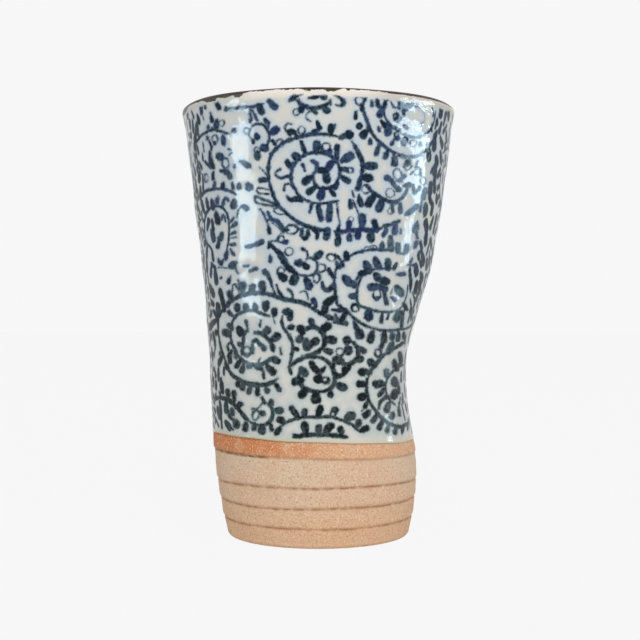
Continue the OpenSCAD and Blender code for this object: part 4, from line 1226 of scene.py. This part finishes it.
def makeClayBody():
    foot = footRun()
    side = bareRun(float(foot[0][-1]))
    coatedZ = np.linspace(bareZ, lipZ, turning["hiddenRows"])
    coated = (sideRadius(coatedZ) - coatThickness(coatedZ), coatedZ)
    overLip = tuple(v[1:] for v in lipCurve(cup["glaze"], 0, 180, turning["hiddenRows"]))
    r, z = joined(foot, side, coated, overLip, insideRun(cup["glaze"], turning["insideRows"]))
    a = anglesRound(turning["columns"])
    points = placed(r, z, a)
    bare = slice(len(foot[0]), len(foot[0]) + len(side[0]))
    # turned lines wander, and the tool bit deeper in some places than in others
    zz, aa = z[bare, None], a[None, :]
    free = np.sin(np.pi * zz / bareZ)
    wander = np.sin(2 * aa + 0.25 * zz) + 0.5 * np.sin(5 * aa - 0.4 * zz + 1)
    points[bare, :, 2] += turning["lineWander"] * mm * free * wander
    swell = turning["swell"] * np.sin(7 * aa + 0.9 * zz) * np.sin(3 * aa + 2)
    swell = swell + turning["ripple"] * np.sin(19 * aa + 2.1 * zz)
    for axis, way in ((0, np.cos(aa)), (1, np.sin(aa))):
        points[bare, :, axis] += swell * way * free * mm
    hidden = np.arange(len(r)) > bare.stop
    # the turned lines are marked, and their colour is painted darker there: painted shade and dirt
    groove = np.zeros(len(r))
    for height in lineHeights:
        strong = turning["flashShadeShare"] if height == lineHeights[-1] else 1.0
        grooveShade = np.exp(-((z - height + 0.05) / turning["grooveShadeSpread"]) ** 2)
        groove = np.maximum(groove, strong * grooveShade)
    groove[:bare.start] = 0
    piece = thrownPiece("clayBody", points, stretchOf(r, z, False, hidden),
                        {"level": z[:, None], "groove": groove[:, None]},
                        [(0, 0, cup["recess"]), (0, 0, cup["floor"] - cup["glaze"])])
    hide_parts("clay_body")
    return piece


outerGlaze = makeOuterGlaze()
innerGlaze = makeInnerGlaze()
ironRim = makeIronRim()
clayBody = makeClayBody()
print("the four pieces are thrown")


# Shader sums are written as Python sums: a Wire is a socket that can be added, multiplied and so on
class Wire:
    def __init__(self, finish, socket):
        self.finish = finish
        self.socket = socket

    def sum(self, operation, *values):
        return self.finish.node("ShaderNodeMath", {"operation": operation}, dict(enumerate(values)))

    def __add__(self, other):
        return self.sum("ADD", self, other)

    def __sub__(self, other):
        return self.sum("SUBTRACT", self, other)

    def __rsub__(self, other):
        return self.sum("SUBTRACT", other, self)

    def __mul__(self, other):
        return self.sum("MULTIPLY", self, other)

    def __truediv__(self, other):
        return self.sum("DIVIDE", self, other)

    def __rtruediv__(self, other):
        return self.sum("DIVIDE", other, self)

    def __pow__(self, other):
        return self.sum("POWER", self, other)

    def __rpow__(self, other):
        return self.sum("POWER", other, self)

    __radd__ = __add__
    __rmul__ = __mul__

    def kept(self):
        return self.finish.node("ShaderNodeClamp", {}, {"Value": self})


class Finish:
    def __init__(self, name, world=None):
        self.owner = world or bpy.data.materials.new(name)
        self.owner.use_nodes = True
        self.tree = self.owner.node_tree
        self.tree.nodes.clear()

    def node(self, kind, settings, sockets, output=0):
        # Settings come first, because some of them change which sockets there are
        made = self.tree.nodes.new(kind)
        for key, value in settings.items():
            setattr(made, key, value)
        for key, value in sockets.items():
            socket = made.inputs[key] if isinstance(key, int) else next(
                s for s in made.inputs if s.name == key and s.enabled)
            if isinstance(value, Wire):
                self.tree.links.new(value.socket, socket)
            else:
                socket.default_value = value
        found = made.outputs[output] if isinstance(output, int) else next(
            s for s in made.outputs if s.name == output and s.enabled)
        return Wire(self, found)

    def mark(self, name):
        return self.node("ShaderNodeAttribute", {"attribute_name": name}, {}, "Fac")

    def place(self):
        return self.node("ShaderNodeTexCoord", {}, {}, "Object")

    def noise(self, scale, detail=2.0, place=None, rough=0.5):
        sockets = {"Scale": scale, "Detail": detail, "Roughness": rough, "Vector": place or self.place()}
        return self.node("ShaderNodeTexNoise", {}, sockets, "Fac")

    def ease(self, value, start, end):
        # A soft step from 0 at start to 1 at end
        return self.node("ShaderNodeMapRange", {"interpolation_type": "SMOOTHSTEP"},
                         {"Value": value, "From Min": start, "From Max": end}, "Result")

    def mix(self, factor, first, second, blend="MIX"):
        return self.node("ShaderNodeMix", {"data_type": "RGBA", "blend_type": blend},
                         {"Factor": factor, "A": first, "B": second}, "Result")

    def along(self, way, vector=None):
        return self.node("ShaderNodeSeparateXYZ", {}, {"Vector": vector or self.place()}, way)

    def stretched(self, x, y, z):
        return self.node("ShaderNodeVectorMath", {"operation": "MULTIPLY"},
                         {0: self.place(), 1: (x, y, z)}, "Vector")

    def show(self, shader, target="ShaderNodeOutputMaterial"):
        self.tree.links.new(shader.socket, self.tree.nodes.new(target).inputs["Surface"])
        return self.owner


def tint(red, green, blue):
    # A colour as it looks on the screen, from 0 to 255, in the linear numbers that shaders want
    def linear(c):
        c = c / 255
        return c / 12.92 if c <= 0.04045 else ((c + 0.055) / 1.055) ** 2.4
    return (linear(red), linear(green), linear(blue), 1.0)


def surface(finish, colour, roughness, height, bump, settings):
    normal = finish.node("ShaderNodeBump", {}, {"Strength": bump[0], "Distance": bump[1], "Height": height})
    sockets = {"Base Color": colour, "Roughness": roughness, "Normal": normal, **settings}
    return finish.show(finish.node("ShaderNodeBsdfPrincipled", {}, sockets))


glazeLook = {
    "warm": tint(211, 210, 203), "cool": tint(187, 201, 211),          # the ground, far from ink and near it
    "coolLow": tint(188, 198, 198),                                    # near ink, low on the cup
    "edgeLeft": tint(190, 190, 160), "edgeRight": tint(212, 204, 182), "edgeLine": tint(158, 128, 98),
    # rimBand is lighter than the two beside it: pink cream with a painted highlight
    "rimBand": tint(238, 230, 220), "rimBandRight": tint(208, 200, 188), "rimBandLeft": tint(196, 200, 192),
    "navy": tint(21, 37, 52), "blue": tint(56, 76, 106), "black": tint(22, 30, 33), "grey": tint(66, 77, 81),
    # moss: the painted shade that strokes get towards the two sides
    "teal": tint(54, 82, 84), "royal": tint(44, 54, 106), "mossShade": tint(34, 44, 42),
    "iron": tint(58, 44, 32), "olive": tint(84, 84, 58),               # the wash that bled into it
    "cloud": tint(203, 208, 204), "speck": tint(168, 150, 122),
    "pool": tint(190, 203, 190), "ring": tint(196, 192, 176),          # on the inside only
    "shine": {"IOR": 1.3, "Specular IOR Level": 0.16},
}

# Where the iron wash has run down from the lip on the side of the photograph:
# millimetres to the right of the middle, half the run's width, and how far it runs
ironRuns = [(-41.5, 3.0, 1.4), (-31, 2.0, 0.8), (-26, 1.6, 0.3), (-22.4, 1.4, 0.7), (-1.8, 3.0, 0.40),
            (3.6, 2.2, 0.55), (8.2, 0.6, 0.3)]


def washReach(finish):
    # How far the wash comes down below its own edge: the runs above, and loose ones at the back
    across, depth = finish.along("X"), finish.along("Y")
    behind = finish.ease(depth, -0.010, 0.010)
    reach = finish.ease(finish.noise(1, 3, finish.stretched(120, 120, 20)), 0.58, 0.74) * behind * 1.3
    for middle, half, drop in ironRuns:
        off = (across * 1000 - middle) / half
        reach = reach + finish.ease(off ** 2, 1.3, 0.0) * drop * (1 - behind)
    return reach + (finish.noise(700, 3, rough=0.7) - 0.5) * 1.5


def underTheLip(finish):
    # The band under the lip: pink cream, painted lighter in the middle as a painted highlight, plainer to the
    # right and the left
    across = finish.along("X")
    colour = finish.mix(finish.ease(across, 0.010, 0.022), glazeLook["rimBand"], glazeLook["rimBandRight"])
    return finish.mix(finish.ease(across, -0.018, -0.028), colour, glazeLook["rimBandLeft"])


def glazeGround(finish, near, low=0.0):
    # The milky glaze: warm where it is clear, cooler near cobalt, with faint clouds and iron specks
    clouds = finish.noise(55, 3)
    cool = finish.mix(low, glazeLook["cool"], glazeLook["coolLow"])
    colour = finish.mix(near * 0.95, glazeLook["warm"], cool)
    colour = finish.mix(finish.ease(clouds, 0.45, 0.75) * 0.35, colour, glazeLook["cloud"])
    specks = finish.ease(finish.noise(1300, 1), 0.76, 0.84)
    return finish.mix(specks * 0.5, colour, glazeLook["speck"])


def paintedGlaze():
    finish = Finish("paintedGlaze")
    ink, shade, level = finish.mark("ink"), finish.mark("shade"), finish.mark("level")
    fine, soft, clouds = finish.noise(2300, 2), finish.noise(700, 2), finish.noise(130, 2)
    ragged = ink + (fine - 0.5) * 0.55 + (soft - 0.5) * 0.75
    cover = finish.ease(ragged, 0.34, -0.33)
    low = finish.ease(level + (clouds - 0.5) * 30, 92, 48)
    dark = finish.mix(low, glazeLook["navy"], glazeLook["black"])
    washed = finish.mix(low, glazeLook["blue"], glazeLook["grey"])
    washed = finish.mix(finish.ease(clouds, 0.52, 0.62) * 0.8, washed, glazeLook["teal"])
    # the cobalt lies thick and thin within a stroke, and some strokes are paler than others
    thin = finish.ease((finish.noise(900, 1) - 0.5) * 1.6 + shade * 0.5, 0.06, 0.56)
    stroke = finish.mix(thin * 0.9, dark, washed)
    bright = finish.ease(shade, 0.32, 0.36) * finish.ease(shade, 0.50, 0.46) * finish.ease(level, 52, 84)
    stroke = finish.mix(bright * 0.4, stroke, glazeLook["royal"])
    # on the two sides, towards the outline seen from the camera's side, the strokes are painted a darker
    # mossy grey: painted shade
    across = finish.along("X")
    flat = finish.stretched(1, 1, 0)
    outward = finish.node("ShaderNodeVectorMath", {"operation": "NORMALIZE"}, {0: flat}, "Vector")
    sideways = finish.along("X", outward) ** 2
    stroke = finish.mix(finish.ease(sideways, 0.52, 0.94) * 0.75, stroke, glazeLook["mossShade"])
    ground = glazeGround(finish, finish.ease(ink + (clouds - 0.5) * 3 + (soft - 0.5), 1.6, 0.1), low)
    # where it thins out at its lower edge the glaze turns cream, and under the lip it turns pink, with a
    # painted highlight in the middle of the front
    edge = finish.mix(finish.ease(across, -0.018, 0.010), glazeLook["edgeLeft"], glazeLook["edgeRight"])
    ground = finish.mix(finish.ease(level, bareZ + 2.2, bareZ + 0.4) * 0.8, ground, edge)
    ground = finish.mix(finish.ease(level, bareZ + 0.25, bareZ) * 0.5, ground, glazeLook["edgeLine"])
    band = finish.ease(level, lipZ - 1.8, lipZ - 0.4) * (finish.ease(across, -0.030, -0.016) * 0.55 + 0.25)
    ground = finish.mix(band, ground, underTheLip(finish))
    colour = finish.mix(cover, ground, stroke)
    # the iron wash bleeds down from the lip here and there
    thick = finish.ease(across, -0.019, -0.025) * 0.55
    bleed = finish.ease(level + thick + washReach(finish), lipZ + 0.75, lipZ + 0.95)
    wash = finish.mix(finish.ease(across, -0.035, -0.039), glazeLook["iron"], glazeLook["olive"])
    colour = finish.mix(bleed * 0.92, colour, wash)
    roughness = clouds * 0.06 + 0.04 + cover * finish.ease(level, 118, 106) * 0.22 + bleed * 0.2
    height = finish.noise(75, 2) + finish.noise(330, 1) * 0.34 + cover * 0.012
    return surface(finish, colour, roughness, height, (0.5, 0.0009), glazeLook["shine"])


def liningGlaze():
    finish = Finish("liningGlaze")
    level = finish.mark("level")
    colour = glazeGround(finish, finish.ease(level, 60, 5) * 0.6)
    pool = finish.ease(level, cup["floor"] + 3, cup["floor"])
    colour = finish.mix(pool * 0.5, colour, glazeLook["pool"])
    rings = finish.noise(1, 2, finish.stretched(8, 8, 420))
    colour = finish.mix(rings * 0.15, colour, glazeLook["ring"])
    runs = finish.noise(1, 3, finish.stretched(110, 110, 20))
    bleed = finish.ease(level + finish.ease(runs, 0.48, 0.72) * 1.6, lipZ + 0.2, lipZ + 0.7)
    colour = finish.mix(bleed, colour, glazeLook["iron"])
    height = finish.noise(75, 2) + rings * 0.25 + finish.noise(700, 2) * 0.03
    roughness = finish.noise(130, 2) * 0.1 + 0.12
    return surface(finish, colour, roughness, height, (0.5, 0.0007), glazeLook["shine"])


ironLook = {
    "dark": tint(34, 25, 19), "brown": tint(60, 43, 31), "rust": tint(120, 70, 46),
    "shine": {"IOR": 1.5, "Specular IOR Level": 0.22},
}


def ironWash():
    finish = Finish("ironWash")
    level = finish.mark("level")
    across = finish.along("X")
    patches = finish.noise(160, 3)
    grain = finish.noise(1900, 2)
    colour = finish.mix(finish.ease(patches, 0.35, 0.65), ironLook["dark"], ironLook["brown"])
    colour = finish.mix(finish.ease(grain * 0.5 + patches * 0.5, 0.57, 0.70) * 0.6, colour, ironLook["rust"])
    # it lies thick on top of the lip and lets the glaze show lower down, sooner in the middle than
    # at the sides
    sides = finish.ease(across, -0.017, -0.025) * 0.72 + finish.ease(across, 0.016, 0.022) * 0.52
    flat = finish.stretched(1, 1, 0)
    fromAxis = finish.node("ShaderNodeVectorMath", {"operation": "LENGTH"}, {0: flat}, "Value")
    inward = finish.ease(fromAxis, lipMid * mm + 0.0002, lipMid * mm - 0.0004)
    reach = level + sides + inward * 1.2 + washReach(finish)
    colour = finish.mix(finish.ease(reach, lipZ + 1.08, lipZ + 0.88), colour, underTheLip(finish))
    roughness = patches * 0.25 + 0.28
    height = patches * 0.6 + grain * 0.2
    return surface(finish, colour, roughness, height, (0.6, 0.0002), ironLook["shine"])


clayLook = {
    "pale": tint(219, 193, 166), "pink": tint(220, 184, 154), "warm": tint(222, 178, 140),
    "flashLeft": tint(206, 127, 74), "flashRight": tint(221, 170, 132),
    "line": tint(164, 112, 70), "flashLine": tint(120, 76, 44), "edgeLine": tint(176, 96, 60),
    "grainLight": tint(244, 222, 188), "grainDark": tint(158, 118, 84),
    "shine": {"IOR": 1.45, "Specular IOR Level": 0.2},
}


def bareClay():
    finish = Finish("bareClay")
    level, groove = finish.mark("level"), finish.mark("groove")
    across = finish.along("X")
    clouds, patches, grain = finish.noise(45, 3), finish.noise(240, 3), finish.noise(2100, 2, rough=0.6)
    brushed = finish.noise(1, 2, finish.stretched(130, 130, 2600))
    colour = finish.mix(finish.ease(clouds, 0.35, 0.65), clayLook["pale"], clayLook["pink"])
    colour = finish.mix(finish.ease(level + (clouds - 0.5) * 9, 19, 5) * 0.75, colour, clayLook["warm"])
    colour = finish.mix(finish.ease(patches, 0.5, 0.8) * 0.35, colour, clayLook["pale"])
    # the band under the coat flashed orange in the kiln, more on one side
    flash = finish.mix(finish.ease(across + (patches - 0.5) * 0.03, -0.024, 0.012),
                       clayLook["flashLeft"], clayLook["flashRight"])
    bandLow = bareZ - cup["flash"]
    band = finish.ease(level + (patches - 0.5) * 2.4 + (grain - 0.5) * 1.2, bandLow - 0.25, bandLow + 0.45)
    worn = finish.ease(patches, 0.66, 0.42) * 0.22 + 0.76
    colour = finish.mix(band * worn, colour, flash)
    left = finish.ease(across, 0.002, -0.018)
    colour = finish.mix(finish.ease(level, bareZ - 0.5, bareZ - 0.1) * (left * 0.45 + 0.3), colour,
                        clayLook["edgeLine"])
    # sand in the clay, and painted shade and dirt in the turned lines
    colour = finish.mix(finish.ease(grain, 0.54, 0.68) * 0.60, colour, clayLook["grainLight"])
    colour = finish.mix(finish.ease(grain, 0.45, 0.31) * 0.55, colour, clayLook["grainDark"])
    broken = finish.ease(finish.noise(420, 2) + (grain - 0.5) * 0.5, 0.36, 0.58)
    colour = finish.mix(groove * (broken * 0.6 + 0.2), colour, clayLook["line"])
    # under the flashed band that line is painted darker still, painted shade and dirt, but only on the left
    stepShade = finish.ease((level - bandLow) ** 2, 0.30, 0.02) * finish.ease(across, -0.012, -0.018)
    colour = finish.mix(stepShade * (broken * 0.5 + 0.3), colour, clayLook["flashLine"])
    height = grain * 0.5 + brushed * 0.35 + patches * 0.3
    return surface(finish, colour, grain * 0.1 + 0.82, height, (0.55, 0.0003), clayLook["shine"])


for piece, look in ((outerGlaze, paintedGlaze()), (innerGlaze, liningGlaze()),
                    (ironRim, ironWash()), (clayBody, bareClay())):
    piece.data.materials.append(look)
print("the four finishes are mixed")

# The stage: one pale sheet that runs from under the cup to the back, and soft daylight
studio = {
    "white": 0.930,                 # how bright the camera sees the sheet and what lies past it
    "flat": 0.985,                  # share of the sheet's look that takes no shade
    "sheet": 0.86,                  # what the sheet gives back to the lamps
    "sheetSize": 12,                # metres
    "sheetDrop": 0.0001,            # how far under the cup it lies, so that the two don't touch
    "daylight": 0.56,
}


def seenDirectly(finish):
    rays = [finish.node("ShaderNodeLightPath", {}, {}, name)
            for name in ("Is Camera Ray", "Is Glossy Ray", "Is Transmission Ray")]
    return (rays[0] + rays[1] + rays[2]).kept()


def makeSheet():
    finish = Finish("sheet")
    grey = studio["sheet"]
    dull = finish.node("ShaderNodeBsdfDiffuse", {}, {"Color": (grey, grey, grey, 1)})
    plain = finish.node("ShaderNodeEmission", {}, {"Color": (1, 1, 1, 1), "Strength": studio["white"]})
    share = seenDirectly(finish) * studio["flat"]
    finish.show(finish.node("ShaderNodeMixShader", {}, {0: share, 1: dull, 2: plain}))
    mesh = bpy.data.meshes.new("sheet")
    half = studio["sheetSize"] / 2
    low = -studio["sheetDrop"]
    mesh.from_pydata([(-half, -half, low), (half, -half, low), (half, half, low), (-half, half, low)],
                     [], [(0, 1, 2, 3)])
    sheet = bpy.data.objects.new("sheet", mesh)
    scene.collection.objects.link(sheet)
    mesh.materials.append(finish.owner)


def makeSky():
    world = bpy.data.worlds.new("daylight")
    scene.world = world
    finish = Finish("daylight", world)
    seen = seenDirectly(finish)
    strength = seen * (studio["white"] - studio["daylight"]) + studio["daylight"]
    sky = finish.node("ShaderNodeBackground", {}, {"Color": (1, 1, 1, 1), "Strength": strength})
    finish.show(sky, "ShaderNodeOutputWorld")


# Each lamp: degrees to the right of the camera's side, metres away, height of its middle, width and
# height of the pane, and watts. The windows beside the cup are seen in the glaze and light nothing else.
lamps = {
    "leftWindow": (-66, 0.33, 0.069, 0.116, 0.074, 1.25),
    "rightWindow": (92.5, 0.34, 0.058, 0.066, 0.054, 0.36),
    "rightUpperWindow": (84.5, 0.34, 0.106, 0.230, 0.044, 1.40),
    "frontPane": (8, 1.10, 0.90, 1.00, 1.00, 9.4),
}
windowColour = (0.62, 0.86, 1.0)
aim = (0, 0, 0.065)


def makeLamps():
    for name, (degrees, away, height, wide, tall, watts) in lamps.items():
        lamp = bpy.data.lights.new(name, "AREA")
        lamp.shape = "RECTANGLE"
        lamp.size, lamp.size_y = wide, tall
        lamp.energy = watts
        pane = bpy.data.objects.new(name, lamp)
        turn = math.radians(degrees)
        pane.location = (away * math.sin(turn), -away * math.cos(turn), height)
        isWindow = "Window" in name
        level = height if isWindow else aim[2]
        direction = mathutils.Vector((aim[0], aim[1], level)) - pane.location
        pane.rotation_euler = direction.to_track_quat("-Z", "Y").to_euler()
        pane.visible_camera = False
        if isWindow:
            pane.visible_diffuse = False
            lamp.color = windowColour
        scene.collection.objects.link(pane)


def makeCamera():
    camera = bpy.data.cameras.new("camera")
    camera.sensor_width = 36
    camera.lens = view["focalPixels"] / view["frame"] * camera.sensor_width
    camera.clip_start = 0.01
    stand = bpy.data.objects.new("camera", camera)
    stand.location = (view["aside"] * mm, -view["distance"] * mm, view["eyeHeight"] * mm)
    stand.rotation_euler = (math.pi / 2, 0, 0)
    scene.collection.objects.link(stand)
    scene.camera = stand


makeSheet()
makeSky()
makeLamps()
makeCamera()
scene.view_settings.view_transform = "Standard"
print("the stage is lit")
